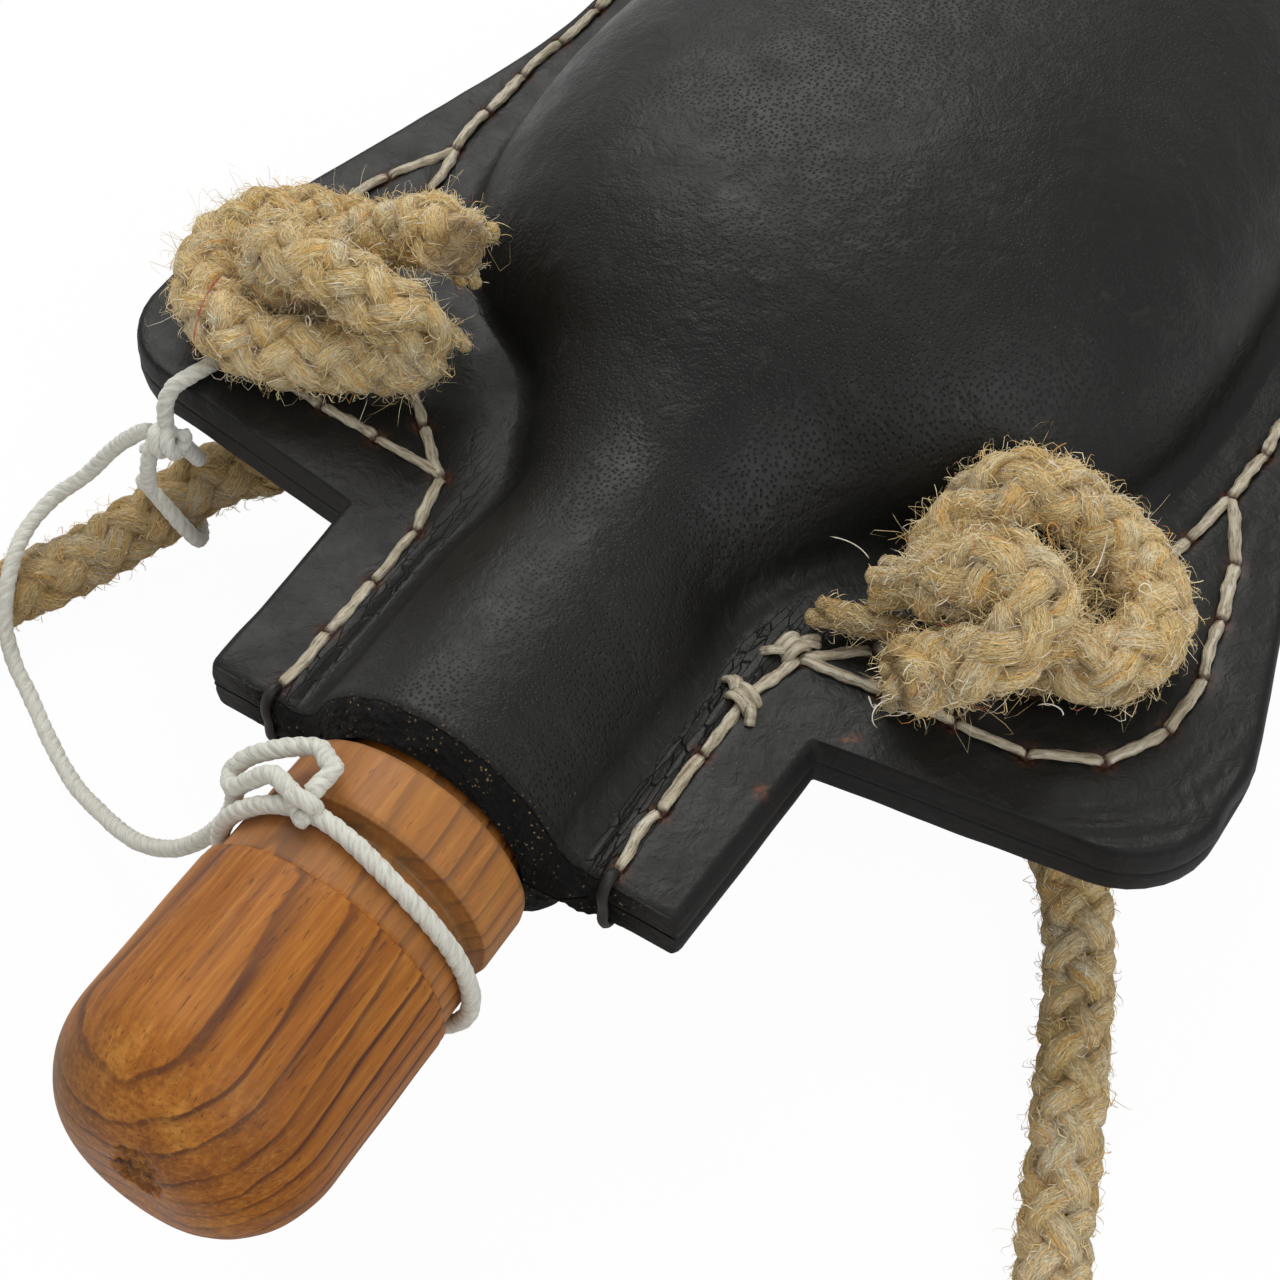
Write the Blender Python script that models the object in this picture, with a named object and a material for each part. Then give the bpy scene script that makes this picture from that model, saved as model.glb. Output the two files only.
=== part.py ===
"""Leather canteen: two moulded and sewn panels, a turned stopper on a tether, and a rope strap.

The bottle lies on its back. +Y runs from the mouth to the bottom, +X across the ears and +Z up
out of the front panel. Shapes are worked out round the mouth's centre, with z = 0 between the
two panels, and each object is then placed by its location.
"""
import math

import bmesh
import bpy
import numpy as np

# Leather and clearances
LEATHER = 0.0038
CLEAR = 0.0003
FOOT_FILLET = 0.0026
REST_FLAT = 0.0006

# Bottle
NECK_BORE = 0.0264
NECK_FLANGE = 0.0620
NECK_LENGTH = 0.0274
EAR_SPAN = 0.1468
EAR_SLANT = 0.0054
EAR_CORNER = 0.011
EAR_SIDE_END = 0.052
CHEST_Y = 0.122
END_LENGTH = 0.062
BODY_HALF_WIDTH = 0.0495
BODY_HALF_DEPTH = 0.0320
FLANGE_MARGIN = 0.0065
BODY_SQUARENESS = 2.3

# Rope and its holes
ROPE = 0.008
ROPE_HOLE_PLAY = 0.0005
ROPE_HOLE_INSET = 0.0269
ROPE_HOLE_BACK = 0.0222

# Thread
THREAD = 0.0014
NEEDLE_PLAY = 0.0005
SEAM_MARGIN = 0.007
EAR_SEAM_SIDE = 0.0095
EAR_SEAM_FRONT = 0.0072
FORK_STEP = 0.0038

# Pitch lining
LINING = 0.0007
LINING_GAP = 0.0005
LINING_SETBACK = 0.0012

# Stopper, measured outwards from the mouth
PLUG_LENGTH = 0.022
PLUG_PLAY = 0.0006
PLUG_TAPER = 0.0006
COLLAR_START = 0.0042
COLLAR_END = 0.0120
COLLAR_RADIUS = 0.0148
GROOVE_RADIUS = 0.0126
GROOVE_END = 0.0148
SHOULDER_RADIUS = 0.0150
KNOB_START = 0.0207
KNOB_RADIUS = 0.0161
KNOB_ROUND = 0.0122
STOPPER_REACH = 0.0532

# Tether cord
TETHER = 0.0021
TETHER_KNOT = 0.0024
NOOSE_AT = 0.0169
NOOSE_PULL = 0.0018
NOOSE_KNOT_ANGLE = 104.0
NOOSE_KNOT_SPAN = 10.0
HITCH_KNOT = (-0.0608, 0.0280, -0.0020)

# Put-away coil of the strap
COIL_X = 0.071
COIL_Y = -0.079
COIL_MEAN = 0.0425
COIL_GAP = 0.0006
COIL_START = -110.0
COIL_END = 15.0
COIL_WHOLE_TURNS = 3

# Steps of the faceted surfaces
STRAIGHT_SECTIONS = 18
FAN_SECTIONS = 16
SECTION_STEPS = 8
LOOP_POINTS = 24

# Worked out from the sizes above
NECK_RADIUS = NECK_BORE / 2 + LEATHER
SURFACE = CLEAR / 2 + LEATHER
REST_DEPTH = BODY_HALF_DEPTH - REST_FLAT
BODY_LENGTH = CHEST_Y + END_LENGTH + FOOT_FILLET + FLANGE_MARGIN
MOUTH_Y = (STOPPER_REACH - BODY_LENGTH) / 2
PLACE = (0.0, MOUTH_Y, REST_DEPTH)
FLOOR = -REST_DEPTH
ROPE_HOLE_X = EAR_SPAN / 2 - ROPE_HOLE_INSET
ROPE_HOLE_Y = NECK_LENGTH + ROPE_HOLE_BACK
THREAD_LIFT = SURFACE + CLEAR + THREAD / 2

# How far the swell has grown from the neck's size to the body's: distance from the mouth, share
WIDTH_GROWTH = ((0.0, 0.0), (0.024, 0.0), (0.036, -0.04), (0.047, 0.08), (0.0545, 0.23),
                (0.0613, 0.55), (0.070, 0.84), (0.084, 0.97), (0.097, 1.0), (0.122, 0.97))
DEPTH_GROWTH = ((0.0, 0.0), (0.028, 0.0), (0.040, 0.04), (0.050, 0.22), (0.060, 0.49),
                (0.070, 0.73), (0.085, 0.93), (0.100, 1.0), (0.122, 1.0))
# Distance of the main seam from the swell's side
SEAM_AWAY = ((0.0, 0.0053), (0.025, 0.0052), (0.036, 0.0088), (0.0425, 0.0150), (0.048, 0.0184),
             (0.0565, 0.0198), (0.066, 0.0105), (0.080, 0.0073), (0.122, SEAM_MARGIN))

# Routes of the free cords, chosen by hand, measured from the mouth's centre
TETHER_ROUTE = ((-0.0688, 0.0274, -0.0084), (-0.0718, 0.0266, -0.0122), (-0.0747, 0.0246, -0.0162),
                (-0.0775, 0.0215, -0.0188), (-0.0782, 0.0175, -0.0200), (-0.0768, 0.0125, -0.0201),
                (-0.0752, 0.0082, -0.0221), (-0.0734, 0.0047, -0.0259), (-0.0706, 0.0024, -0.0289),
                (-0.0665, 0.0002, -0.0300), (-0.0602, -0.0035, -0.0300), (-0.0521, -0.0076, -0.0290),
                (-0.0450, -0.0102, -0.0260), (-0.0380, -0.0126, -0.0218), (-0.0326, -0.0140, -0.0175),
                (-0.0270, -0.0144, -0.0125), (-0.0225, -0.0139, -0.0070), (-0.0192, -0.0131, -0.0015),
                (-0.0174, -0.0127, 0.0035), (-0.0170, -0.0126, 0.0077))
KNOT_RIGHT_ROUTE = ((0.0495, 0.0478, 0.0100), (0.0534, 0.0471, 0.0105), (0.0566, 0.0501, 0.0105),
                    (0.0577, 0.0552, 0.0105), (0.0558, 0.0602, 0.0105), (0.0516, 0.0634, 0.0105),
                    (0.0475, 0.0640, 0.0122), (0.0437, 0.0634, 0.0150), (0.0400, 0.0619, 0.0172),
                    (0.0366, 0.0595, 0.0174), (0.0344, 0.0567, 0.0152), (0.0336, 0.0533, 0.0124),
                    (0.0345, 0.0491, 0.0120), (0.0367, 0.0458, 0.0146), (0.0392, 0.0453, 0.0182),
                    (0.0416, 0.0468, 0.0204), (0.0445, 0.0473, 0.0209), (0.0473, 0.0453, 0.0206),
                    (0.0479, 0.0418, 0.0194), (0.0463, 0.0391, 0.0170), (0.0430, 0.0386, 0.0134),
                    (0.0394, 0.0377, 0.0108), (0.0370, 0.0346, 0.0106))
KNOT_LEFT_ROUTE = ((-0.0481, 0.0491, 0.0100), (-0.0508, 0.0477, 0.0113), (-0.0532, 0.0466, 0.0124),
                   (-0.0546, 0.0448, 0.0154), (-0.0536, 0.0446, 0.0188), (-0.0497, 0.0443, 0.0202),
                   (-0.0457, 0.0443, 0.0204), (-0.0409, 0.0437, 0.0202), (-0.0362, 0.0439, 0.0190),
                   (-0.0329, 0.0449, 0.0157), (-0.0339, 0.0445, 0.0119), (-0.0379, 0.0428, 0.0105),
                   (-0.0422, 0.0404, 0.0105), (-0.0479, 0.0379, 0.0105), (-0.0548, 0.0367, 0.0105),
                   (-0.0616, 0.0397, 0.0105), (-0.0655, 0.0453, 0.0105), (-0.0652, 0.0517, 0.0105),
                   (-0.0617, 0.0561, 0.0105), (-0.0572, 0.0583, 0.0105), (-0.0522, 0.0587, 0.0108),
                   (-0.0476, 0.0586, 0.0126), (-0.0437, 0.0587, 0.0158), (-0.0388, 0.0570, 0.0194),
                   (-0.0337, 0.0549, 0.0214))
STRAP_LEFT_ROUTE = ((-0.0488, 0.0483, -0.0135), (-0.0556, 0.0440, -0.0192), (-0.0641, 0.0370, -0.0220),
                    (-0.0685, 0.0282, -0.0244), (-0.0729, 0.0182, -0.0264), (-0.0772, 0.0114, -0.0272),
                    (-0.0818, 0.0015, -0.0272), (-0.0862, -0.0150, -0.0272),
                    (-0.0850, -0.0470, -0.0272), (-0.0690, -0.0790, -0.0272),
                    (-0.0410, -0.1010, -0.0272), (-0.0080, -0.1120, -0.0272),
                    (0.0230, -0.1160, -0.0272))
STRAP_RIGHT_ROUTE = ((0.0488, 0.0486, -0.0135), (0.0541, 0.0474, -0.0202), (0.0598, 0.0434, -0.0250),
                     (0.0646, 0.0355, -0.0270), (0.0697, 0.0236, -0.0272), (0.0751, 0.0104, -0.0272),
                     (0.0795, -0.0012, -0.0272), (0.0865, -0.0140, -0.0270), (0.0942, -0.0235, -0.0258),
                     (0.1020, -0.0310, -0.0228), (0.1090, -0.0390, -0.0198))


def material(name, colour, roughness):
    """Principled finish of one colour."""
    found = bpy.data.materials.get(name)
    if found:
        return found
    made = bpy.data.materials.new(name)
    made.use_nodes = True
    shader = made.node_tree.nodes["Principled BSDF"]
    shader.inputs["Base Color"].default_value = (*colour, 1.0)
    shader.inputs["Roughness"].default_value = roughness
    shader.inputs["Metallic"].default_value = 0.0
    return made


def leather():
    return material("black_leather", (0.028, 0.028, 0.030), 0.5)


def clear_scene():
    for item in list(bpy.data.objects):
        bpy.data.objects.remove(item, do_unlink=True)


def through(keys, where):
    """Smooth line through (place, value) pairs, flat at both ends and never overshooting."""
    place, value = np.array(keys, dtype=float).T
    slope = np.diff(value) / np.diff(place)
    bend = np.zeros(len(place))
    both = slope[:-1] * slope[1:] > 0
    total = np.where(both, slope[:-1] + slope[1:], 1.0)
    bend[1:-1] = np.where(both, 2 * slope[:-1] * slope[1:] / total, 0.0)
    where = np.clip(np.atleast_1d(where), place[0], place[-1])
    at = np.clip(np.searchsorted(place, where) - 1, 0, len(slope) - 1)
    width = place[at + 1] - place[at]
    t = (where - place[at]) / width
    return (value[at] * (1 + 2 * t) * (1 - t) ** 2 + width * bend[at] * t * (1 - t) ** 2
            + value[at + 1] * t * t * (3 - 2 * t) + width * bend[at + 1] * t * t * (t - 1))


def half_width(y):
    return NECK_RADIUS + (BODY_HALF_WIDTH - NECK_RADIUS) * through(WIDTH_GROWTH, y)


def half_depth(y):
    return NECK_RADIUS + (BODY_HALF_DEPTH - NECK_RADIUS) * through(DEPTH_GROWTH, y)


def squareness(y):
    return 2.0 + (BODY_SQUARENESS - 2.0) * through(DEPTH_GROWTH, y)


def sections(fan, start=0.0):
    """Half sections of the swell as (spine y, turn, half width, half depth, squareness).

    They stand square to +X down the right side, fan round the bottom and return up the left.
    """
    down = np.linspace(0.0, CHEST_Y, STRAIGHT_SECTIONS + 1)
    down[0] = start
    wide = half_width(down)
    deep = half_depth(down)
    power = squareness(down)
    side = [(y, 0.0, a, b, n) for y, a, b, n in zip(down, wide, deep, power)]
    turns = np.pi * np.arange(1, fan) / fan
    reach = 1.0 / np.hypot(np.cos(turns) / wide[-1], np.sin(turns) / END_LENGTH)
    bottom = [(CHEST_Y, turn, r, deep[-1], power[-1]) for turn, r in zip(turns, reach)]
    back = [(y, np.pi, a, b, n) for y, turn, a, b, n in reversed(side)]
    return side + bottom + back


def arch(wide, deep, power, low, steps):
    """Superellipse quarter from its top down to the height low, as (distance, height) rows."""
    last = math.acos((low / deep) ** (power / 2))
    angle = np.linspace(0.0, last, steps + 1)
    return np.stack([wide * np.sin(angle) ** (2 / power), deep * np.cos(angle) ** (2 / power)], -1)


def outer_profile(wide, deep, power):
    """The arch, then a small fillet out to the flange."""
    top = arch(wide, deep, power, SURFACE + FOOT_FILLET, SECTION_STEPS)
    side = wide * (1 - (SURFACE / deep) ** power) ** (1 / power)
    bend = np.array([[side + 0.25 * FOOT_FILLET, SURFACE + 0.25 * FOOT_FILLET],
                     [side + FOOT_FILLET, SURFACE]])
    return np.vstack([top, bend])


def inner_profile(wide, deep, power):
    return arch(wide - LEATHER, deep - LEATHER, power, CLEAR / 2, SECTION_STEPS)


def place_profile(section, profile, floor_at=None):
    """Stand a profile on its section: origin on the spine, turned about the vertical."""
    y, turn = section[0], section[1]
    high = profile[:, 1] if floor_at is None else np.minimum(profile[:, 1], floor_at)
    return np.stack([np.cos(turn) * profile[:, 0], y + np.sin(turn) * profile[:, 0], high], -1)


def round_corner(before, corner, after, radius, steps=6):
    """Arc of the given radius that replaces a corner."""
    before, corner, after = (np.array(p) for p in (before, corner, after))
    back = (before - corner) / np.linalg.norm(before - corner)
    on = (after - corner) / np.linalg.norm(after - corner)
    half = math.acos(np.clip(back @ on, -1, 1)) / 2
    cut = radius / math.tan(half)
    middle = corner + (back + on) / np.linalg.norm(back + on) * radius / math.sin(half)
    first = corner + back * cut - middle
    last = corner + on * cut - middle
    t = np.linspace(0, 1, steps + 1)[:, None]
    arc = first * (1 - t) + last * t
    return middle + arc / np.linalg.norm(arc, axis=1)[:, None] * radius


def half_outline():
    """Right edge of a panel from the mouth's corner to the bottom."""
    side = half_width(CHEST_Y)[0] + FOOT_FILLET + FLANGE_MARGIN
    ear = EAR_SPAN / 2
    corners = [(NECK_FLANGE / 2, 0.0), (NECK_FLANGE / 2 + 0.001, NECK_LENGTH),
               (ear, NECK_LENGTH + EAR_SLANT), (ear, EAR_SIDE_END), (side, CHEST_Y - 0.012),
               (side, CHEST_Y)]
    line = [np.array([corners[0], corners[1]])]
    for at, radius in ((2, EAR_CORNER), (3, 0.02), (4, 0.06)):
        line.append(round_corner(corners[at - 1], corners[at], corners[at + 1], radius))
    turn = np.linspace(0.0, np.pi / 2, FAN_SECTIONS // 2 + 1)
    line.append(np.stack([side * np.cos(turn), CHEST_Y + (BODY_LENGTH - CHEST_Y) * np.sin(turn)], -1))
    return np.vstack(line)


def at_height(line, z):
    return np.column_stack([line, np.full(len(line), z)])


def mirrored(line):
    """The line's mirror image in the plane x = 0, run the other way."""
    return np.column_stack([-line[:, 0], line[:, 1:]])[::-1]


def mesh_object(name, points, faces, look):
    """One closed body from points and faces, its doubles merged and its faces outwards."""
    mesh = bpy.data.meshes.new(name)
    mesh.from_pydata([tuple(map(float, p)) for p in points], [], faces)
    work = bmesh.new()
    work.from_mesh(mesh)
    bmesh.ops.remove_doubles(work, verts=work.verts, dist=1e-6)
    bmesh.ops.recalc_face_normals(work, faces=work.faces)
    work.to_mesh(mesh)
    work.free()
    mesh.materials.append(look)
    item = bpy.data.objects.new(name, mesh)
    bpy.context.collection.objects.link(item)
    item.location = PLACE
    return item


def grid_faces(first, rows, columns):
    """Quads over a grid of points that starts at the index first."""
    faces = []
    for i in range(rows - 1):
        for k in range(columns - 1):
            corner = first + i * columns + k
            faces.append((corner, corner + columns, corner + columns + 1, corner + 1))
    return faces


def panel(name, side, floor_at=None):
    """Moulded panel: swell with its hollow, flange, outer edge and cut mouth edge."""
    cuts = sections(FAN_SECTIONS)
    outer = [place_profile(cut, outer_profile(*cut[2:]), floor_at) for cut in cuts]
    inner = [place_profile(cut, inner_profile(*cut[2:])) for cut in cuts]
    rim = half_outline()
    rim = np.vstack([rim, mirrored(rim[:-1])])
    top = at_height(rim, SURFACE)
    low = at_height(rim, CLEAR / 2)
    rows = len(cuts)
    wide = len(outer[0])
    deep = len(inner[0])
    points = np.vstack(outer + inner + [top, low])
    inner_at = rows * wide
    top_at = inner_at + rows * deep
    low_at = top_at + len(rim)
    faces = grid_faces(0, rows, wide) + grid_faces(inner_at, rows, deep)
    foot = [i * wide + wide - 1 for i in range(rows)]
    root = [inner_at + i * deep + deep - 1 for i in range(rows)]
    edge = range(len(rim))
    faces.append(foot + [top_at + i for i in reversed(edge)])
    faces.append(root + [low_at + i for i in reversed(edge)])
    faces += [(top_at + i, top_at + i + 1, low_at + i + 1, low_at + i) for i in edge[:-1]]
    last = rows - 1
    mouth = [top_at] + [k for k in reversed(range(wide))] + [last * wide + k for k in range(wide)]
    mouth += [top_at + len(rim) - 1, low_at + len(rim) - 1]
    mouth += [inner_at + last * deep + k for k in reversed(range(deep))]
    mouth += [inner_at + k for k in range(deep)] + [low_at]
    faces.append(mouth)
    points = points * (1.0, 1.0, side)
    return mesh_object(name, points, faces, leather())


def lining():
    """Coat of pitch inside the panels, open at the mouth."""
    cuts = sections(FAN_SECTIONS // 2, LINING_SETBACK)
    steps = SECTION_STEPS // 2
    points = []
    for skin in (LINING_GAP, LINING_GAP + LINING):
        shrink = LEATHER + skin
        for cut in cuts:
            upper = arch(cut[2] - shrink, cut[3] - shrink, cut[4], 1e-9, steps)
            upper[-1, 1] = 0.0
            lower = upper[:-1][::-1] * (1.0, -1.0)
            inward = (cut[0], cut[1])
            points.append(place_profile(inward, np.vstack([upper, lower])))
    rows = len(cuts)
    wide = len(points[0])
    inner_at = rows * wide
    faces = grid_faces(0, rows, wide) + grid_faces(inner_at, rows, wide)
    for row in (0, rows - 1):
        for k in range(wide - 1):
            a = row * wide + k
            faces.append((a, a + 1, inner_at + a + 1, inner_at + a))
    pitch = material("pitch", (0.012, 0.010, 0.009), 0.35)
    return mesh_object("pitch_lining", np.vstack(points), faces, pitch)


def rod(work, x, y, radius, half_height, sides):
    turn = np.arange(sides) * 2 * np.pi / sides
    ring = [(x + radius * np.cos(t), y + radius * np.sin(t)) for t in turn]
    low = [work.verts.new((px, py, -half_height)) for px, py in ring]
    high = [work.verts.new((px, py, half_height)) for px, py in ring]
    work.faces.new(low[::-1])
    work.faces.new(high)
    for i in range(sides):
        j = (i + 1) % sides
        work.faces.new((low[i], low[j], high[j], high[i]))


def seam_line(y):
    """Main seam's distance from the middle at distances y from the mouth."""
    return half_width(y) + through(SEAM_AWAY, y)


def forks():
    """Needle holes where the right ear's own seam leaves and meets the main seam."""
    near = NECK_LENGTH + 0.0080
    far = NECK_LENGTH + 0.0530
    return (seam_line(near)[0] + FORK_STEP, near), (seam_line(far)[0] + FORK_STEP, far)


def hole_cutter():
    """Cutter with the rope holes and the needle holes of both ears."""
    work = bmesh.new()
    for side in (1, -1):
        rod(work, side * ROPE_HOLE_X, ROPE_HOLE_Y, ROPE / 2 + ROPE_HOLE_PLAY, 3 * LEATHER, 20)
        for x, y in forks():
            rod(work, side * x, y, THREAD / 2 + NEEDLE_PLAY, 3 * LEATHER, 10)
    mesh = bpy.data.meshes.new("hole_cutter")
    bmesh.ops.recalc_face_normals(work, faces=work.faces)
    work.to_mesh(mesh)
    work.free()
    item = bpy.data.objects.new("hole_cutter", mesh)
    bpy.context.collection.objects.link(item)
    item.location = PLACE
    item.hide_render = True
    item.display_type = "WIRE"
    return item


def cut(item, cutter):
    boolean = item.modifiers.new("holes", "BOOLEAN")
    boolean.operation = "DIFFERENCE"
    boolean.solver = "EXACT"
    boolean.object = cutter


def smooth_route(points, spacing):
    """Points at an even spacing on a smooth curve through the route's own points."""
    route = np.array(points, dtype=float)
    run = np.concatenate([[0], np.cumsum(np.linalg.norm(np.diff(route, axis=0), axis=1))])
    slope = np.gradient(route, run, axis=0)
    fine = np.linspace(0, run[-1], 40 * len(route))
    at = np.clip(np.searchsorted(run, fine) - 1, 0, len(run) - 2)
    width = (run[at + 1] - run[at])[:, None]
    t = (fine - run[at])[:, None] / width
    curve = (route[at] * (1 + 2 * t) * (1 - t) ** 2 + width * slope[at] * t * (1 - t) ** 2
             + route[at + 1] * t * t * (3 - 2 * t) + width * slope[at + 1] * t * t * (t - 1))
    length = np.concatenate([[0], np.cumsum(np.linalg.norm(np.diff(curve, axis=0), axis=1))])
    count = max(int(round(length[-1] / spacing)), 2)
    even = np.linspace(0, length[-1], count + 1)
    return np.stack([np.interp(even, length, curve[:, i]) for i in range(3)], -1)


def route_length(points):
    return np.linalg.norm(np.diff(points, axis=0), axis=1).sum()


def tube(name, points, diameter, look, sides=2, closed=False):
    """Round tube along the points, as a curve with filled ends."""
    data = bpy.data.curves.new(name, "CURVE")
    data.dimensions = "3D"
    data.bevel_depth = diameter / 2
    data.bevel_resolution = sides
    data.use_fill_caps = not closed
    line = data.splines.new("POLY")
    line.points.add(len(points) - 1)
    for spot, place in zip(line.points, points):
        spot.co = (*map(float, place), 1.0)
    line.use_cyclic_u = closed
    data.materials.append(look)
    item = bpy.data.objects.new(name, data)
    bpy.context.collection.objects.link(item)
    item.location = PLACE
    return item


def over_edge(x, lift):
    """Thread's bend over the mouth's cut edge, from the front face to the back face."""
    out = CLEAR + THREAD / 2
    half = lift - 0.4 * out
    return [(x, 2 * out, lift), (x, 0.3 * out, lift), (x, -0.7 * out, half), (x, -out, half - out),
            (x, -out, 0.0), (x, -out, out - half), (x, -0.7 * out, -half), (x, 0.3 * out, -lift),
            (x, 2 * out, -lift)]


def main_seam():
    """One thread ring: down the right side, round the bottom, up the left, and the same behind."""
    down = np.linspace(0.006, CHEST_Y, 17)
    right = np.column_stack([seam_line(down), down])
    turn = np.pi * np.arange(1, 12) / 12
    wide = right[-1, 0]
    long = END_LENGTH + SEAM_MARGIN
    bottom = np.stack([wide * np.cos(turn), CHEST_Y + long * np.sin(turn)], -1)
    left = mirrored(right)
    front = at_height(np.vstack([right, bottom, left]), THREAD_LIFT)
    back = front[::-1] * (1.0, 1.0, -1.0)
    mouth_x = seam_line(0.0)[0]
    left_edge = np.array(over_edge(-mouth_x, THREAD_LIFT))
    right_edge = np.array(over_edge(mouth_x, THREAD_LIFT))[::-1]
    ring = np.vstack([front, left_edge, back, right_edge])
    return tube("main_seam_thread", ring, THREAD, waxed_thread(), sides=0, closed=True)


def waxed_thread():
    return material("waxed_thread", (0.42, 0.37, 0.27), 0.6)


def ear_seam(name, side):
    """One thread ring round the rope hole, on both faces, through the two fork holes."""
    ear = EAR_SPAN / 2
    front = NECK_LENGTH + EAR_SLANT
    near, far = forks()
    route = [near, (near[0] + 0.008, front + EAR_SEAM_FRONT - 0.0028),
             (ear - 0.0270, front + EAR_SEAM_FRONT - 0.0022),
             (ear - 0.0180, front + EAR_SEAM_FRONT - 0.0010),
             (ear - 0.0122, front + EAR_SEAM_FRONT + 0.0035),
             (ear - EAR_SEAM_SIDE, front + EAR_SEAM_FRONT + 0.0110),
             (ear - EAR_SEAM_SIDE, front + EAR_SEAM_FRONT + 0.0190),
             (ear - EAR_SEAM_SIDE - 0.0022, front + EAR_SEAM_FRONT + 0.0290), far]
    line = smooth_route(at_height(np.array(route), THREAD_LIFT), 0.006)
    inside = line[1:-1]
    corner = 0.4 * THREAD
    ring = [*inside]
    for x, y, sign in ((far[0], far[1], 1), (near[0], near[1], -1)):
        lead = corner if sign > 0 else -corner
        ring += [(x, y - lead * 1.5, sign * THREAD_LIFT), (x, y, sign * (THREAD_LIFT - corner)),
                 (x, y, -sign * (THREAD_LIFT - corner)), (x, y - lead * 1.5, -sign * THREAD_LIFT)]
        if sign > 0:
            ring += [*(inside[::-1] * (1.0, 1.0, -1.0))]
    ring = np.array(ring) * (side, 1.0, 1.0)
    return tube(name, ring, THREAD, waxed_thread(), sides=0, closed=True)


def stopper():
    """Turned in one piece about the neck's axis: plug, collar, groove, shoulder and knob."""
    plug = NECK_BORE / 2 - LINING_GAP - LINING - PLUG_PLAY
    turn = np.linspace(0.0, np.pi / 2, 6)
    nose = KNOB_RADIUS - 0.9 * KNOB_ROUND
    knob = np.stack([nose + 0.9 * KNOB_ROUND * np.sin(turn),
                     STOPPER_REACH - KNOB_ROUND * (1 - np.cos(turn))], -1)
    profile = [(0.0, STOPPER_REACH), *map(tuple, knob), (KNOB_RADIUS, KNOB_START + 0.0012),
               (SHOULDER_RADIUS + 0.0006, KNOB_START), (SHOULDER_RADIUS, KNOB_START - 0.0002),
               (SHOULDER_RADIUS, GROOVE_END + 0.0006), (SHOULDER_RADIUS - 0.0008, GROOVE_END),
               (GROOVE_RADIUS + 0.0004, GROOVE_END - 0.0010), (GROOVE_RADIUS, COLLAR_END + 0.0010),
               (COLLAR_RADIUS - 0.0008, COLLAR_END + 0.0002), (COLLAR_RADIUS, COLLAR_END - 0.0006),
               (COLLAR_RADIUS, COLLAR_START + 0.0005), (COLLAR_RADIUS - 0.0005, COLLAR_START),
               (plug + 0.0009, COLLAR_START - 0.0001), (plug, 0.0),
               (plug - PLUG_TAPER, 0.0010 - PLUG_LENGTH), (plug - PLUG_TAPER - 0.001, -PLUG_LENGTH),
               (0.0, -PLUG_LENGTH)]
    mesh = bpy.data.meshes.new("stopper")
    mesh.from_pydata([(r, 0.0, h) for r, h in profile], [(i, i + 1) for i in range(len(profile) - 1)], [])
    mesh.materials.append(material("turned_wood", (0.42, 0.17, 0.045), 0.45))
    item = bpy.data.objects.new("stopper", mesh)
    bpy.context.collection.objects.link(item)
    item.location = PLACE
    item.rotation_euler = (math.pi / 2, 0.0, 0.0)
    screw = item.modifiers.new("turn", "SCREW")
    screw.axis = "Z"
    screw.steps = 32
    screw.render_steps = 32
    screw.use_merge_vertices = True
    screw.merge_threshold = 0.00001
    return item


def cotton():
    return material("cotton_cord", (0.68, 0.66, 0.60), 0.8)


def bead(name, centre):
    """Drawn-up knot of the tether, as a small round lump."""
    work = bmesh.new()
    bmesh.ops.create_uvsphere(work, u_segments=12, v_segments=8, radius=TETHER_KNOT)
    mesh = bpy.data.meshes.new(name)
    work.to_mesh(mesh)
    work.free()
    mesh.shade_smooth()
    mesh.materials.append(cotton())
    item = bpy.data.objects.new(name, mesh)
    bpy.context.collection.objects.link(item)
    item.location = [p + c for p, c in zip(PLACE, centre)]
    return item


def lead(centre, heading):
    """Two points that bring a cord straight out of a knot, one diameter long."""
    heading = np.array(heading) / np.linalg.norm(heading)
    near = np.array(centre) + heading * (TETHER_KNOT + 1.5 * CLEAR)
    return [near, near + heading * TETHER]


def noose():
    """Cord round the stopper's shoulder, its knot, and the eye that the tether is looped into."""
    radius = SHOULDER_RADIUS + CLEAR + TETHER / 2
    knot = math.radians(NOOSE_KNOT_ANGLE)
    gap = math.radians(NOOSE_KNOT_SPAN)
    turn = np.linspace(knot + gap, knot + 2 * np.pi - gap, 36)
    pull = NOOSE_PULL * np.clip(np.cos(turn - knot), 0.0, 1.0) ** 6
    loop = np.stack([radius * np.cos(turn), pull - NOOSE_AT, radius * np.sin(turn)], -1)
    tube("tether_noose", loop, TETHER, cotton())
    lift = SHOULDER_RADIUS + CLEAR + TETHER_KNOT
    centre = np.array([lift * math.cos(knot), NOOSE_PULL - NOOSE_AT, lift * math.sin(knot)])
    bead("tether_noose_knot", centre)
    bight = centre + ((-0.0009, 0.0054, -0.0002), (-0.0031, 0.0068, -0.0012), (-0.0060, 0.0062, -0.0024),
                      (-0.0090, 0.0049, -0.0040), (-0.0115, 0.0039, -0.0062), (-0.0127, 0.0025, -0.0080),
                      (-0.0115, 0.0011, -0.0076), (-0.0085, 0.0012, -0.0044))
    eye = np.vstack([lead(centre, (0.05, 1.0, 0.1)), bight, lead(centre, (-1.0, 0.3, -0.15))[::-1]])
    tube("tether_eye", smooth_route(eye, TETHER), TETHER, cotton())


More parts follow.
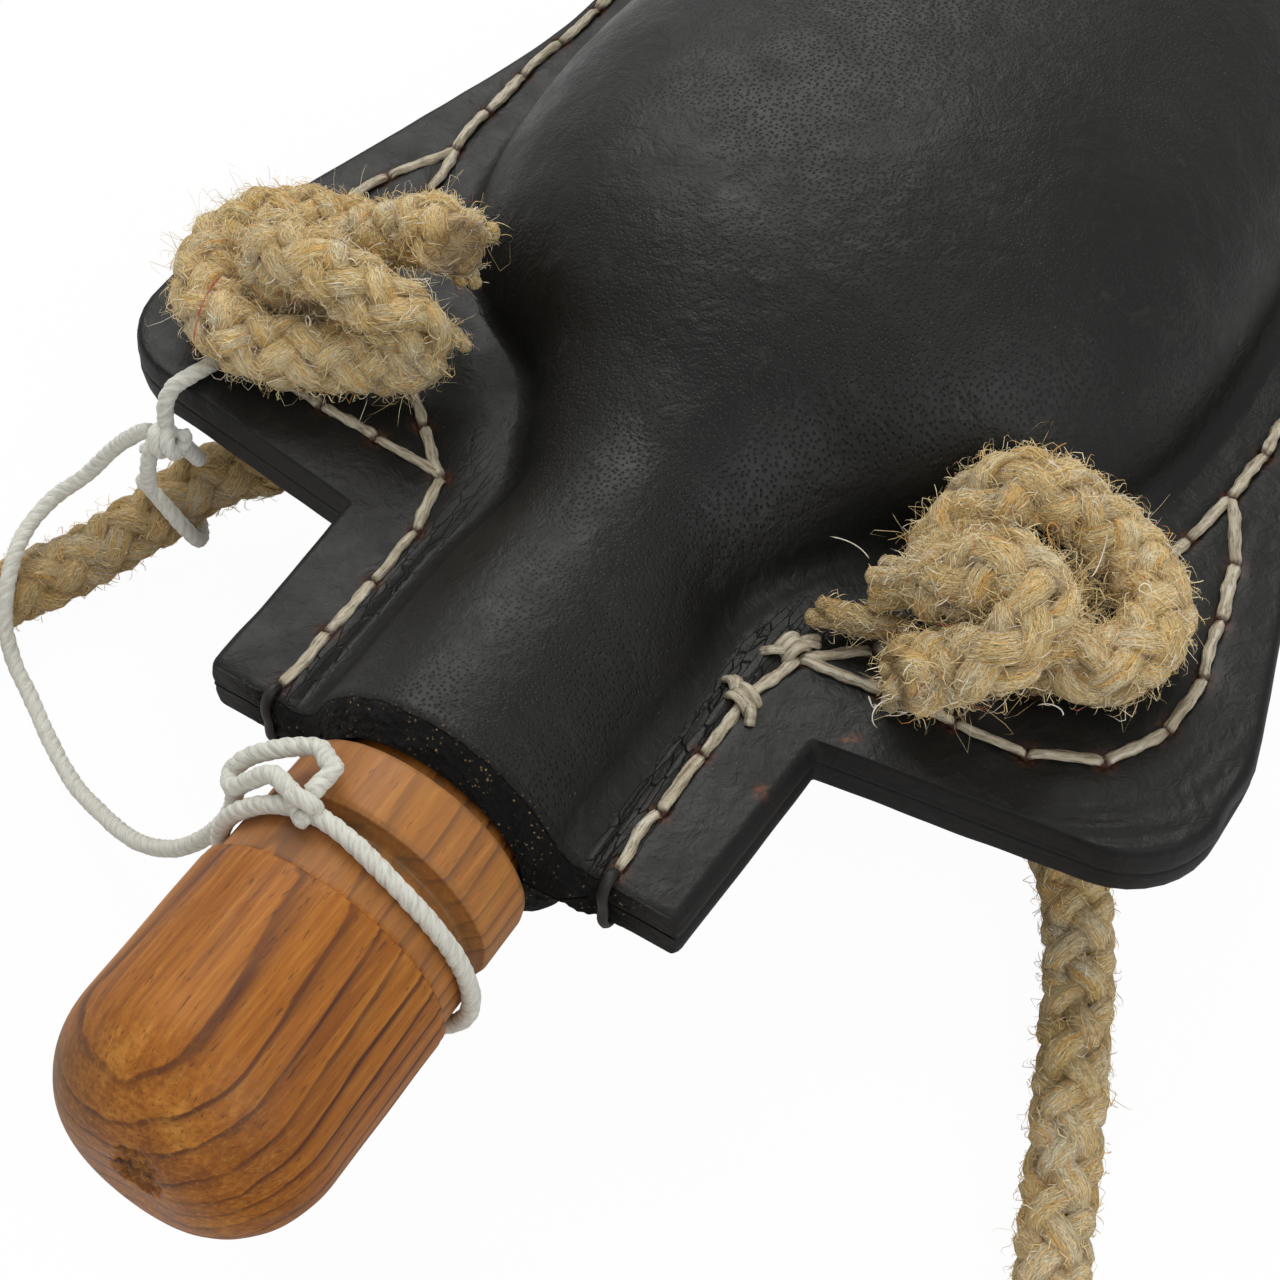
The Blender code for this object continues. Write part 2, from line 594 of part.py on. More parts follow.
def hitch():
    """Where the tether is made fast: a lump at the ear's front edge and two legs."""
    bead("tether_hitch_knot", HITCH_KNOT)
    over = SURFACE + CLEAR + TETHER / 2
    leg = ((-0.0578, 0.0362, over), (-0.0584, 0.0338, over), (-0.0592, 0.0314, over),
           (-0.0598, 0.0299, over - 0.0003), (-0.0603, 0.0288, over - 0.0016))
    up = lead(HITCH_KNOT, (0.05, 0.05, 1.0))[:1]
    tube("tether_hitch_leg", smooth_route(np.vstack([leg, up]), TETHER), TETHER, cotton())
    radius = ROPE / 2 + 2 * CLEAR + TETHER / 2
    low, high = (np.array(STRAP_LEFT_ROUTE[i]) for i in (3, 2))
    along = (low - high) / np.linalg.norm(low - high)
    across = np.cross(along, (0.0, 0.0, 1.0))
    across = across / np.linalg.norm(across)
    upward = np.cross(across, along)
    turn = np.radians(np.linspace(120.0, 420.0, 18))[:, None]
    round_rope = (low + high) / 2 + radius * (np.cos(turn) * across + np.sin(turn) * upward)
    first = lead(HITCH_KNOT, (-0.35, -0.35, -1.0))
    last = lead(HITCH_KNOT, (0.4, 0.3, -1.0))[::-1]
    loop = np.vstack([first, round_rope, last])
    tube("tether_strap_loop", smooth_route(loop, TETHER), TETHER, cotton())


def hemp():
    return material("hemp_rope", (0.50, 0.36, 0.19), 0.85)


def rope_knot(name, side, route):
    """Knot on the ear's front: up out of the hole, then along its route to the cut end."""
    hole = (side * ROPE_HOLE_X, ROPE_HOLE_Y)
    stem = [(*hole, SURFACE + CLEAR), (*hole, SURFACE + 0.25 * ROPE), (*hole, SURFACE + 0.5 * ROPE)]
    points = smooth_route(np.vstack([stem, route]), 0.4 * ROPE)
    print(name, "length", round(route_length(points), 4), "least gap", round(self_gap(points, ROPE), 5))
    return tube(name, points, ROPE, hemp())


def self_gap(points, diameter):
    """Least distance between parts of a tube that are not neighbours along it, less its width."""
    run = np.concatenate([[0], np.cumsum(np.linalg.norm(np.diff(points, axis=0), axis=1))])
    apart = np.linalg.norm(points[:, None] - points[None], axis=-1)
    far = np.abs(run[:, None] - run[None]) > 2.2 * diameter
    return apart[far].min() - diameter


def coil_loops():
    """Strap's spare length in two layers: spiral in, climb in the half turn, spiral out."""
    pitch = ROPE + COIL_GAP
    start = math.radians(COIL_START)
    finish = math.radians(COIL_END + 360.0 * COIL_WHOLE_TURNS)
    middle = (start + finish) / 2
    count = int(round((finish - start) / (2 * np.pi) * LOOP_POINTS))
    turn = np.linspace(start, finish, count + 1)
    inmost = COIL_MEAN - pitch * (finish - start) / (8 * np.pi)
    away = np.sqrt((turn - middle) ** 2 + 0.15) / (2 * np.pi)
    radius = inmost + pitch * away
    climb = np.clip((turn - middle) / np.pi + 0.5, 0.0, 1.0)
    low = FLOOR + ROPE / 2
    high = low + (ROPE + COIL_GAP) * climb * climb * (3 - 2 * climb)
    loops = np.stack([COIL_X + radius * np.cos(turn), COIL_Y + radius * np.sin(turn), high], -1)
    first = np.array([np.sin(start), -np.cos(start), 0.0]) * ROPE
    last = np.array([-np.sin(finish), np.cos(finish), 0.0]) * ROPE
    return np.vstack([loops[0] + first, loops, loops[-1] + last])


def strap():
    """Rope strap: a stretch from each ear and the coil of its spare length between them."""
    loops = coil_loops()
    print("strap_coil least gap", round(self_gap(loops, ROPE), 5))
    tube("strap_coil", loops, ROPE, hemp(), sides=1)
    lengths = [route_length(loops)]
    ends = (("strap_rope_left", -1, STRAP_LEFT_ROUTE, loops[0], loops[0] - loops[1]),
            ("strap_rope_right", 1, STRAP_RIGHT_ROUTE, loops[-1], loops[-1] - loops[-2]))
    for name, side, route, end, out in ends:
        out = out / np.linalg.norm(out)
        hole = (side * ROPE_HOLE_X, ROPE_HOLE_Y)
        meet = [end + out * (2 * CLEAR + ROPE), end + out * 2 * CLEAR]
        out_of_hole = [(*hole, -SURFACE), (*hole, -SURFACE - 0.4 * ROPE)]
        run = smooth_route(np.vstack([out_of_hole, route, meet]), 1.2 * ROPE)
        points = np.vstack([[(*hole, SURFACE - CLEAR)], run])
        lengths.append(route_length(points))
        tube(name, points, ROPE, hemp(), sides=2)
    print("strap length without its knots", [round(value, 3) for value in lengths], round(sum(lengths), 3))


def tether():
    start = lead(HITCH_KNOT, (-1.0, 0.25, -0.25))
    points = smooth_route(np.vstack([start, TETHER_ROUTE]), 2.4 * TETHER)
    print("tether free length", round(route_length(points), 4))
    tube("tether_cord", points, TETHER, cotton())


def build():
    clear_scene()
    cutter = hole_cutter()
    cut(panel("front_panel", 1.0), cutter)
    cut(panel("back_panel", -1.0, REST_DEPTH), cutter)
    lining()
    main_seam()
    ear_seam("ear_seam_right", 1.0)
    ear_seam("ear_seam_left", -1.0)
    stopper()
    noose()
    tether()
    hitch()
    rope_knot("rope_knot_right", 1.0, KNOT_RIGHT_ROUTE)
    rope_knot("rope_knot_left", -1.0, KNOT_LEFT_ROUTE)
    strap()


build()
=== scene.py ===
# %% [markdown]
# # Leather canteen
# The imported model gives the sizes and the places. This lesson builds what the eye sees on top of
# it: moulded black leather, hand stitching, a turned stopper, a cotton tether and a hemp strap.

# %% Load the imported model
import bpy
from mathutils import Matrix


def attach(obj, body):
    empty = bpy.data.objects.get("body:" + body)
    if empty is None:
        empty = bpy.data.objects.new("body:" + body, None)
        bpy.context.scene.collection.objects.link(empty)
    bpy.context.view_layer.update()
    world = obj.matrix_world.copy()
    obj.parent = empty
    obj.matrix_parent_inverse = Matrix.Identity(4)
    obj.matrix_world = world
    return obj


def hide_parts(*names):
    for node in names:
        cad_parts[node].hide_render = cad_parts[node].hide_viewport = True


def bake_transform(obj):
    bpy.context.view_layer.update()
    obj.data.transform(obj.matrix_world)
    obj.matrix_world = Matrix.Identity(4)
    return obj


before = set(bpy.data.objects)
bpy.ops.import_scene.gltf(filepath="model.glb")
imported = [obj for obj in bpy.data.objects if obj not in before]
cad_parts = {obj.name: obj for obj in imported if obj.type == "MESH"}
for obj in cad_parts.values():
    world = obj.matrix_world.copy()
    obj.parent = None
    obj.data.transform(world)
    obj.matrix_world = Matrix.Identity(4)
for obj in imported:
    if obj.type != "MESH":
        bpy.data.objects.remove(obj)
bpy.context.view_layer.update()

import math

import bmesh
import bpy
import numpy as np
from mathutils import Vector

PLACE = np.array([0.0, -0.06995, 0.0314])     # the mouth's centre, where every list starts from
MM = 0.001
scene = bpy.context.scene


# %% [markdown]
# ## Camera
# A long lens far away keeps the ears and the neck nearly parallel, as in the photograph. Its
# place and aim were fitted to the mouth, the neck and the ears' edges.

# %% Camera
camera_data = bpy.data.cameras.new("camera")
camera_data.lens = 67.5
camera_data.sensor_width = 36.0
camera_data.clip_start = 0.01
camera = bpy.data.objects.new("camera", camera_data)
scene.collection.objects.link(camera)
EYE = np.array([94.2, -106.6, 222.1]) * MM + PLACE
TARGET = np.array([6.6, 31.0, 0.0]) * MM + PLACE
camera.location = EYE
camera.rotation_euler = Vector(TARGET - EYE).to_track_quat("-Z", "Y").to_euler()
scene.camera = camera
print("camera", round(float(np.linalg.norm(TARGET - EYE)), 3), "m from its aim")


# %% [markdown]
# ## From grids to meshes
# Every surface here is a grid of points made with whole numpy arrays. One function turns grids
# into a Blender mesh with a UV map and painted attributes, so that finishes can follow the form.
# Points that coincide are merged, because an open seam would show as a crack in the shading.

# %% Grids
def unit(v):
    """Vectors divided by their own length."""
    return v / np.maximum(np.linalg.norm(v, axis=-1, keepdims=True), 1e-12)


def ring_angles(sides):
    """Even angles once round."""
    return np.arange(sides) * 2 * np.pi / sides


def eased(t):
    """Smooth step from 0 to 1 with level ends: t squared times the difference of 3 and twice t."""
    return t * t * (3 - 2 * t)


def span(first, last, rise, fall, t):
    """Cubic from first to last as t goes from 0 to 1, with the slopes rise and fall at its ends."""
    return (first * (1 + 2 * t) * (1 - t) ** 2 + rise * t * (1 - t) ** 2
            + last * t * t * (3 - 2 * t) + fall * t * t * (t - 1))


def grid_quads(rows, columns, start=0, around=False):
    """Corner indices of a grid's quads, and their row and column steps for UVs."""
    across = columns if around else columns - 1
    i, k = np.meshgrid(np.arange(rows - 1), np.arange(across), indexing="ij")
    i, k = i.ravel(), k.ravel()
    k2 = (k + 1) % columns
    quads = start + np.stack([i * columns + k, (i + 1) * columns + k, (i + 1) * columns + k2,
                              i * columns + k2], -1)
    steps = np.stack([np.stack([i, i + 1, i + 1, i], -1), np.stack([k, k, k + 1, k + 1], -1)], -1)
    return quads, steps


print("a grid of 3 x 4 points has", len(grid_quads(3, 4)[0]), "quads")


# %% Meshes
SAME_POINT = 0.0026 * MM


def close_seams(mesh):
    """Points that lie on one another become one point, which closes the seams and the poles."""
    shell = bmesh.new()
    shell.from_mesh(mesh)
    bmesh.ops.remove_doubles(shell, verts=shell.verts, dist=SAME_POINT)
    shell.to_mesh(mesh)
    shell.free()


def mesh_object(name, points, quads, look, painted=None, uvs=None):
    """Object from whole arrays of points and quads, with its painted values and UV map."""
    mesh = bpy.data.meshes.new(name)
    mesh.vertices.add(len(points))
    mesh.vertices.foreach_set("co", points.astype(np.float32).ravel())
    mesh.loops.add(4 * len(quads))
    mesh.loops.foreach_set("vertex_index", quads.astype(np.int32).ravel())
    mesh.polygons.add(len(quads))
    mesh.polygons.foreach_set("loop_start", np.arange(0, 4 * len(quads), 4, dtype=np.int32))
    mesh.update(calc_edges=True)
    if uvs is not None:
        layer = mesh.uv_layers.new(name="UVMap")
        layer.data.foreach_set("uv", uvs.astype(np.float32).ravel())
    for title, values in (painted or {}).items():
        paint = mesh.attributes.new(title, "FLOAT", "POINT")
        paint.data.foreach_set("value", np.asarray(values, dtype=np.float32).ravel())
    mesh.validate()
    close_seams(mesh)
    mesh.shade_smooth()
    mesh.materials.append(look)
    item = bpy.data.objects.new(name, mesh)
    scene.collection.objects.link(item)
    triangles = sum(len(face.vertices) - 2 for face in mesh.polygons)
    print(name, len(mesh.vertices), "points", triangles, "triangles")
    return item


def make_mesh(name, grids, look, flip=False, painted=None):
    """One object from several grids.

    Each grid is (points, around, u, v): around says that the last column joins the first, and u
    and v are the UV coordinates of the rows and the columns. flip turns the faces over.
    painted holds one number per point and attribute name, in the order of the grids' points.
    """
    points, quads, uvs, start = [], [], [], 0
    for grid, around, u, v in grids:
        rows, columns = grid.shape[:2]
        q, s = grid_quads(rows, columns, start, around)
        uvs.append(np.stack([np.asarray(u, dtype=float)[s[..., 0]],
                             np.asarray(v, dtype=float)[s[..., 1]]], -1))
        points.append(grid.reshape(-1, 3))
        quads.append(q)
        start += rows * columns
    quads, uvs = np.vstack(quads), np.concatenate(uvs)
    if flip:
        quads, uvs = quads[:, ::-1], uvs[:, ::-1]
    return mesh_object(name, np.vstack(points) + PLACE, quads, look, painted, uvs)


# %% [markdown]
# ## Waves and routes
# Hand-made things are never quite even. Smooth random waves give lumps and wavering, and routes
# are drawn through a few given points, smoothed, and then carry a frame for rings round them.

# %% Waves
def waves(points, size, seed, count=14):
    """Smooth random number at each point, mostly between -1 and 1.

    It is a mean of sine waves in random directions. size is the usual wavelength in metres.
    """
    rng = np.random.default_rng(seed)
    aim = unit(rng.normal(size=(count, 3))) * rng.uniform(0.6, 1.6, (count, 1)) * 2 * np.pi / size
    phase = rng.uniform(0, 2 * np.pi, count)
    flat = points.reshape(-1, 3)
    total = np.zeros(len(flat))
    for k, shift in zip(aim, phase):
        total += np.sin(flat @ k + shift)
    return (total / count * 1.8).reshape(points.shape[:-1])


metre = np.linspace((0, 0, 0), (1, 0, 0), 999)
print("waves reach from", np.round(waves(metre, 0.1, 1).min(), 2), "to",
      np.round(waves(metre, 0.1, 1).max(), 2))


# %% Routes
def run_along(path):
    """Distance from the path's start to each of its points."""
    return np.concatenate([[0], np.cumsum(np.linalg.norm(np.diff(path, axis=0), axis=1))])


def smooth_route(points, spacing):
    """Points at an even spacing on a smooth curve through the route's own points.

    Each span is a cubic: its ends are two route points, and its slopes there are the means of
    the slopes of the spans on either side.
    """
    route = np.array(points, dtype=float)
    run = run_along(route)
    slope = np.gradient(route, run, axis=0)
    fine = np.linspace(0, run[-1], 40 * len(route))
    at = np.clip(np.searchsorted(run, fine) - 1, 0, len(run) - 2)
    width = (run[at + 1] - run[at])[:, None]
    t = (fine - run[at])[:, None] / width
    curve = span(route[at], route[at + 1], width * slope[at], width * slope[at + 1], t)
    length = run_along(curve)
    count = max(int(round(length[-1] / spacing)), 2)
    even = np.linspace(0, length[-1], count + 1)
    return np.stack([np.interp(even, length, curve[:, i]) for i in range(3)], -1)


bow = smooth_route([(1, 0, 0), (0.7, 0.7, 0), (0, 1, 0)], 0.1)
print("a route through three points:", len(bow), "even points,", np.round(run_along(bow)[-1], 2))


# %% Tubes
def carried_frame(path):
    """Tangent, side and up vectors along a path, carried on with as little twist as possible.

    A first guess takes each normal from a fixed direction. The turn between one guess, carried
    on to the next point, and the next guess is added up, and taken back out.
    """
    tangent = unit(np.gradient(path, axis=0))
    fixed = np.array([0.137, 0.211, 0.968])
    side = unit(np.cross(np.broadcast_to(fixed, tangent.shape), tangent))
    up = np.cross(tangent, side)
    carried = unit(side[:-1] - np.sum(side[:-1] * tangent[1:], -1, keepdims=True) * tangent[1:])
    angle = np.arctan2(np.sum(carried * up[1:], -1), np.sum(carried * side[1:], -1))
    turn = np.concatenate([[0], np.cumsum(angle)])[:, None]
    cos, sin = np.cos(turn), np.sin(turn)
    return tangent, cos * side + sin * up, cos * up - sin * side


def tube_grid(path, radius, sides, squash, lobes, lobe_depth):
    """Closed rings round a path.

    The ring's radius is the given one times 1 plus lobe_depth times the cosine of lobes times the
    angle, and squash flattens it. A ring of almost no size at each end closes the tube.
    """
    _, side, up = carried_frame(path)
    path, side, up = (np.vstack([part[:1], part, part[-1:]]) for part in (path, side, up))
    radius = np.concatenate([[1e-6], np.full(len(path) - 2, radius), [1e-6]])
    angle = ring_angles(sides)
    r = radius[:, None] * (1 + lobe_depth * np.cos(lobes * angle))
    return (path[:, None] + (r * np.cos(angle))[..., None] * side[:, None]
            + (r * squash * np.sin(angle))[..., None] * up[:, None])


# %% [markdown]
# ## Shader tools
# A few short helpers keep the node trees readable: each material is written as a chain of noise,
# colour ramps and bump that reads from the object's own coordinates or its UV map. A colour is
# given as it would be mixed, in linear red, green and blue.

# %% Shader tools
class Look:
    """A material's node tree with short calls for the nodes used here."""

    def __init__(self, name):
        self.material = bpy.data.materials.new(name)
        self.material.use_nodes = True
        self.tree = self.material.node_tree
        self.shader = self.tree.nodes["Principled BSDF"]
        self.coords = self.tree.nodes.new("ShaderNodeTexCoord")

    def link(self, value, socket):
        """A socket is linked; a number or a colour is set on the socket itself."""
        if isinstance(value, bpy.types.NodeSocket):
            self.tree.links.new(value, socket)
        elif isinstance(value, (tuple, list)) and len(value) == 3 and socket.type == "RGBA":
            socket.default_value = (*value, 1.0)
        else:
            socket.default_value = value

    def node(self, kind, inputs=None, **settings):
        """A node of this kind, with its settings and the values or links of its inputs."""
        made = self.tree.nodes.new(kind)
        for key, value in settings.items():
            setattr(made, key, value)
        for key, value in (inputs or {}).items():
            self.link(value, made.inputs[key])
        return made

    def axis(self, name):
        """The object's own X, Y or Z coordinate."""
        split = self.node("ShaderNodeSeparateXYZ", {0: self.coords.outputs["Object"]})
        return split.outputs[name]

    def mapped(self, source, scale):
        """Object or UV coordinates, stretched along each axis."""
        return self.node("ShaderNodeMapping", {"Vector": self.coords.outputs[source],
                                               "Scale": scale}).outputs["Vector"]

    def noise(self, scale, detail=3.0, rough=0.5, vector=None, distortion=0.0, out="Fac"):
        """Clouds of about 1 / scale metres, on the object's own coordinates."""
        made = self.node("ShaderNodeTexNoise", {
            "Scale": scale, "Detail": detail, "Roughness": rough, "Distortion": distortion,
            "Vector": vector or self.coords.outputs["Object"]})
        return made.outputs[out]

    def grain(self, source, scale, detail=3.0, rough=0.5):
        """Noise stretched along an axis, for fibres and streaks."""
        return self.noise(1.0, detail, rough, vector=self.mapped(source, scale))

    def cells(self, scale, vector=None, feature="F1", random=1.0, flat=False):
        """Distance to the nearest of scattered points, or to the edge between two of them."""
        made = self.node("ShaderNodeTexVoronoi", {
            "Scale": scale, "Randomness": random,
            "Vector": vector or self.coords.outputs["Object"]},
            feature=feature, voronoi_dimensions="2D" if flat else "3D")
        return made.outputs["Distance"]

    def facing(self, low, high):
        """1 where the surface faces up or down, 0 where it stands upright."""
        normal = self.node("ShaderNodeNewGeometry").outputs["True Normal"]
        upright = self.node("ShaderNodeSeparateXYZ", {0: normal}).outputs["Z"]
        return self.ramp(self.sum("ABSOLUTE", upright), (low, 0.0), (high, 1.0))

    def paint(self, name):
        """Values painted on the mesh's points."""
        return self.node("ShaderNodeAttribute", attribute_name=name).outputs["Fac"]

    def ramp(self, value, *stops):
        """Colours or numbers at places between 0 and 1, joined by straight lines."""
        made = self.node("ShaderNodeValToRGB", {"Fac": value})
        bar = made.color_ramp.elements
        while len(bar) < len(stops):
            bar.new(0.5)
        for element, (place, colour) in zip(bar, stops):
            element.position = place
            colour = (colour,) * 3 if isinstance(colour, (int, float)) else colour
            element.color = (*colour, 1.0)
        return made.outputs["Color"]

    def mix(self, share, first, second, how="MIX"):
        """The first colour where share is 0, the second where it is 1."""
        made = self.node("ShaderNodeMix", data_type="RGBA", blend_type=how)
        for key, value in (("Factor", share), ("A", first), ("B", second)):
            self.link(value, made.inputs[key])
        return [socket for socket in made.outputs if socket.type == "RGBA"][0]

    def sum(self, how, *values):
        """One sum on sockets or numbers, such as SUBTRACT or MULTIPLY_ADD."""
        return self.node("ShaderNodeMath", dict(enumerate(values)), operation=how).outputs[0]

    def times(self, *values):
        """Product of two or more values."""
        total = values[0]
        for value in values[1:]:
            total = self.sum("MULTIPLY", total, value)
        return total

    def bump(self, height, strength, distance, under=None):
        """Shading of a relief, distance metres deep, on top of the relief under it."""
        inputs = {"Strength": strength, "Distance": distance, "Height": height}
        if under is not None:
            inputs["Normal"] = under
        return self.node("ShaderNodeBump", inputs).outputs["Normal"]

    def finish(self, colour, rough, normal=None, **more):
        """Links the shader and gives the finished material back."""
        self.link(colour, self.shader.inputs["Base Color"])
        self.link(rough, self.shader.inputs["Roughness"])
        if normal is not None:
            self.link(normal, self.shader.inputs["Normal"])
        for key, value in more.items():
            self.link(value, self.shader.inputs[key.replace("_", " ")])
        print("finish", self.material.name, len(self.tree.nodes), "nodes")
        return self.material


# %% [markdown]
# ## Black leather
# Harness leather is dyed black, waxed and rubbed. The colour is nearly even, with grey dust and
# painted shade in the pores, and rust-coloured specks. The shine is broad, because the grain breaks
# it up.

# %% Leather colour
def dyed_colour(look, pits, where):
    """Even black with browner and greyer clouds, and painted shade in the pores."""
    colour = look.ramp(look.noise(24, 4.0, 0.55), (0.3, (0.0052, 0.0054, 0.0048)),
                       (0.7, (0.0130, 0.0133, 0.0117)))
    brown = look.ramp(look.noise(95, 5.0, 0.7), (0.58, 0.0), (0.80, 0.5))
    colour = look.mix(brown, colour, (0.024, 0.020, 0.013))
    grey = look.ramp(look.noise(210, 5.0, 0.75, distortion=0.4), (0.58, 0.0), (0.74, 0.36))
    colour = look.mix(grey, colour, (0.046, 0.045, 0.038))
    # painted shade: the pores are darkened where they show
    pore_shade_mask = look.times(where, look.ramp(pits, (0.10, 0.75), (0.22, 0.0)))
    return look.mix(pore_shade_mask, colour, (0.003, 0.003, 0.003))


# %% Leather wear
def worn_colour(look, colour, cut, mouth):
    """Dust, the bare cut edge, grit on the mouth's rough face, and rust at the holes."""
    dust = look.times(look.ramp(look.cells(520), (0.040, 1.0), (0.065, 0.0)),
                      look.ramp(look.noise(48, 3.0, 0.6), (0.47, 0.0), (0.62, 1.0)), 0.45)
    colour = look.mix(dust, colour, (0.20, 0.165, 0.11))
    rim = look.mix(look.noise(700, 4.0, 0.7), (0.0028, 0.0027, 0.0028), (0.0085, 0.0076, 0.0074))
    colour = look.mix(cut, colour, rim)
    grit = look.times(look.ramp(look.cells(1700), (0.17, 1.0), (0.27, 0.0)),
                      look.ramp(look.noise(190, 4.0, 0.7), (0.46, 0.0), (0.56, 1.0)),
                      look.ramp(look.noise(1100, 2.0), (0.42, 0.0), (0.58, 1.0)), mouth)
    colour = look.mix(grit, colour, (0.36, 0.24, 0.12))
    rusty = look.ramp(look.noise(1500, 3.0), (0.36, 0.0), (0.60, 1.0))
    return look.mix(look.times(look.paint("rust"), rusty), colour, (0.17, 0.055, 0.024))


# %% Leather finish
def leather_look():
    """Colour, cracks, shine and grain. The pores show only on the upper side of the swell."""
    look = Look("black_leather")
    pits = look.cells(1500, random=0.8, flat=True)
    away = look.sum("ABSOLUTE", look.sum("SUBTRACT", look.axis("Z"), PLACE[2]))
    where = look.times(look.facing(0.30, 0.55),
                       look.ramp(look.times(away, 100.0), (0.55, 0.0), (1.0, 1.0)),
                       look.ramp(look.noise(45, 2.0), (0.36, 0.10), (0.60, 0.9)))
    pores = look.mix(where, (1.0, 1.0, 1.0), look.ramp(pits, (0.09, 0.0), (0.27, 1.0)))
    cut, mouth = look.paint("cut"), look.paint("mouth")
    colour = worn_colour(look, dyed_colour(look, pits, where), cut, mouth)
    wander = look.mix(0.5, look.mapped("Object", (1150, 240, 900)),
                      look.noise(420, 2.0, 0.5, out="Color"), "ADD")
    cracks = look.ramp(look.cells(1.0, vector=wander, feature="DISTANCE_TO_EDGE"),
                       (0.0, 0.0), (0.055, 1.0))
    open_cracks = look.mix(look.paint("crackle"), (1.0, 1.0, 1.0), cracks)
    # painted shade: the cracks are coloured nearly black, as shade down in them
    colour = look.mix(open_cracks, (0.0025, 0.0025, 0.0025), colour)
    rough = look.ramp(look.noise(150, 5.0, 0.65), (0.30, 0.38), (0.72, 0.56))
    rough = look.mix(mouth, look.mix(cut, rough, (0.62, 0.62, 0.62)), (0.9, 0.9, 0.9))
    normal = look.bump(look.noise(330, 4.0, 0.6, distortion=0.6), 0.42, 0.0007)
    normal = look.bump(look.noise(1700, 2.0, 0.6), 0.25, 0.00016, normal)
    normal = look.bump(pores, 0.55, 0.00026, normal)
    normal = look.bump(open_cracks, 0.8, 0.0003, normal)
    normal = look.bump(look.times(look.noise(1500, 4.0, 0.7), mouth), 1.0, 0.0010, normal)
    return look.finish(colour, rough, normal, Specular_IOR_Level=0.28)


leather = leather_look()


# %% [markdown]
# ## Moulded panels
# The maker pressed wet leather over a form, so one panel holds the swell, the flange and the
# ears. Here each panel is one grid: rows run down the right side, round the bottom and up the
# left; columns run from the ridge over the swell and across the flange to the outer edge.

# %% Panel sizes
LEATHER = 0.0038
CLEAR = 0.0003
SURFACE = CLEAR / 2 + LEATHER
NECK_BORE = 0.0264
NECK_RADIUS = NECK_BORE / 2 + LEATHER
NECK_FLANGE = 0.0620
NECK_LENGTH = 0.0274
EAR_SPAN = 0.1468
EAR_SLANT = 0.0054
EAR_CORNER = 0.011
EAR_SIDE_END = 0.052
CHEST_Y = 0.122
END_LENGTH = 0.062
BODY_HALF_WIDTH = 0.0495
BODY_HALF_DEPTH = 0.0320
BODY_SQUARENESS = 2.3
FOOT_FILLET = 0.0026
FLANGE_MARGIN = 0.0065
REST_DEPTH = BODY_HALF_DEPTH - 0.0006
BODY_LENGTH = CHEST_Y + END_LENGTH + FOOT_FILLET + FLANGE_MARGIN
ROPE = 0.008
ROPE_HOLE_X = EAR_SPAN / 2 - 0.0269
ROPE_HOLE_Y = NECK_LENGTH + 0.0222
WIDTH_GROWTH = ((0.0, 0.0), (0.024, 0.0), (0.036, -0.04), (0.047, 0.08), (0.0545, 0.23),
                (0.0613, 0.55), (0.070, 0.84), (0.084, 0.97), (0.097, 1.0), (0.122, 0.97))
DEPTH_GROWTH = ((0.0, 0.0), (0.028, 0.0), (0.040, 0.04), (0.050, 0.22), (0.060, 0.49),
                (0.070, 0.73), (0.085, 0.93), (0.100, 1.0), (0.122, 1.0))
SEAM_AWAY = ((0.0, 0.0053), (0.025, 0.0052), (0.036, 0.0088), (0.0425, 0.0150), (0.048, 0.0184),
             (0.0565, 0.0198), (0.066, 0.0105), (0.080, 0.0073), (0.122, 0.007))
print("panel", round(BODY_LENGTH, 4), "m long,", EAR_SPAN, "m across the ears")


# %% Lines through keys, and round corners
def through(keys, where):
    """Smooth line through (place, value) pairs, flat at both ends and never overshooting."""
    place, value = np.array(keys, dtype=float).T
    slope = np.diff(value) / np.diff(place)
    bend = np.zeros(len(place))
    both = slope[:-1] * slope[1:] > 0
    total = np.where(both, slope[:-1] + slope[1:], 1.0)
    bend[1:-1] = np.where(both, 2 * slope[:-1] * slope[1:] / total, 0.0)
    where = np.clip(np.atleast_1d(where), place[0], place[-1])
    at = np.clip(np.searchsorted(place, where) - 1, 0, len(slope) - 1)
    width = place[at + 1] - place[at]
    t = (where - place[at]) / width
    return span(value[at], value[at + 1], width * bend[at], width * bend[at + 1], t)


def round_corner(before, corner, after, radius, steps=24):
    """Arc of the given radius that replaces a corner."""
    before, corner, after = (np.array(p) for p in (before, corner, after))
    back = unit(before - corner)
    on = unit(after - corner)
    half = math.acos(np.clip(back @ on, -1, 1)) / 2
    cut = radius / math.tan(half)
    middle = corner + (back + on) / np.linalg.norm(back + on) * radius / math.sin(half)
    t = np.linspace(0, 1, steps + 1)[:, None]
    arc = (corner + back * cut - middle) * (1 - t) + (corner + on * cut - middle) * t
    return middle + unit(arc) * radius


print("growth of the width 60 mm from the mouth", np.round(through(WIDTH_GROWTH, 0.060)[0], 2))


# %% Panel outline
def half_width(y):
    """The swell's half width at distances y from the mouth: the neck's, plus a share of growth."""
    return NECK_RADIUS + (BODY_HALF_WIDTH - NECK_RADIUS) * through(WIDTH_GROWTH, y)


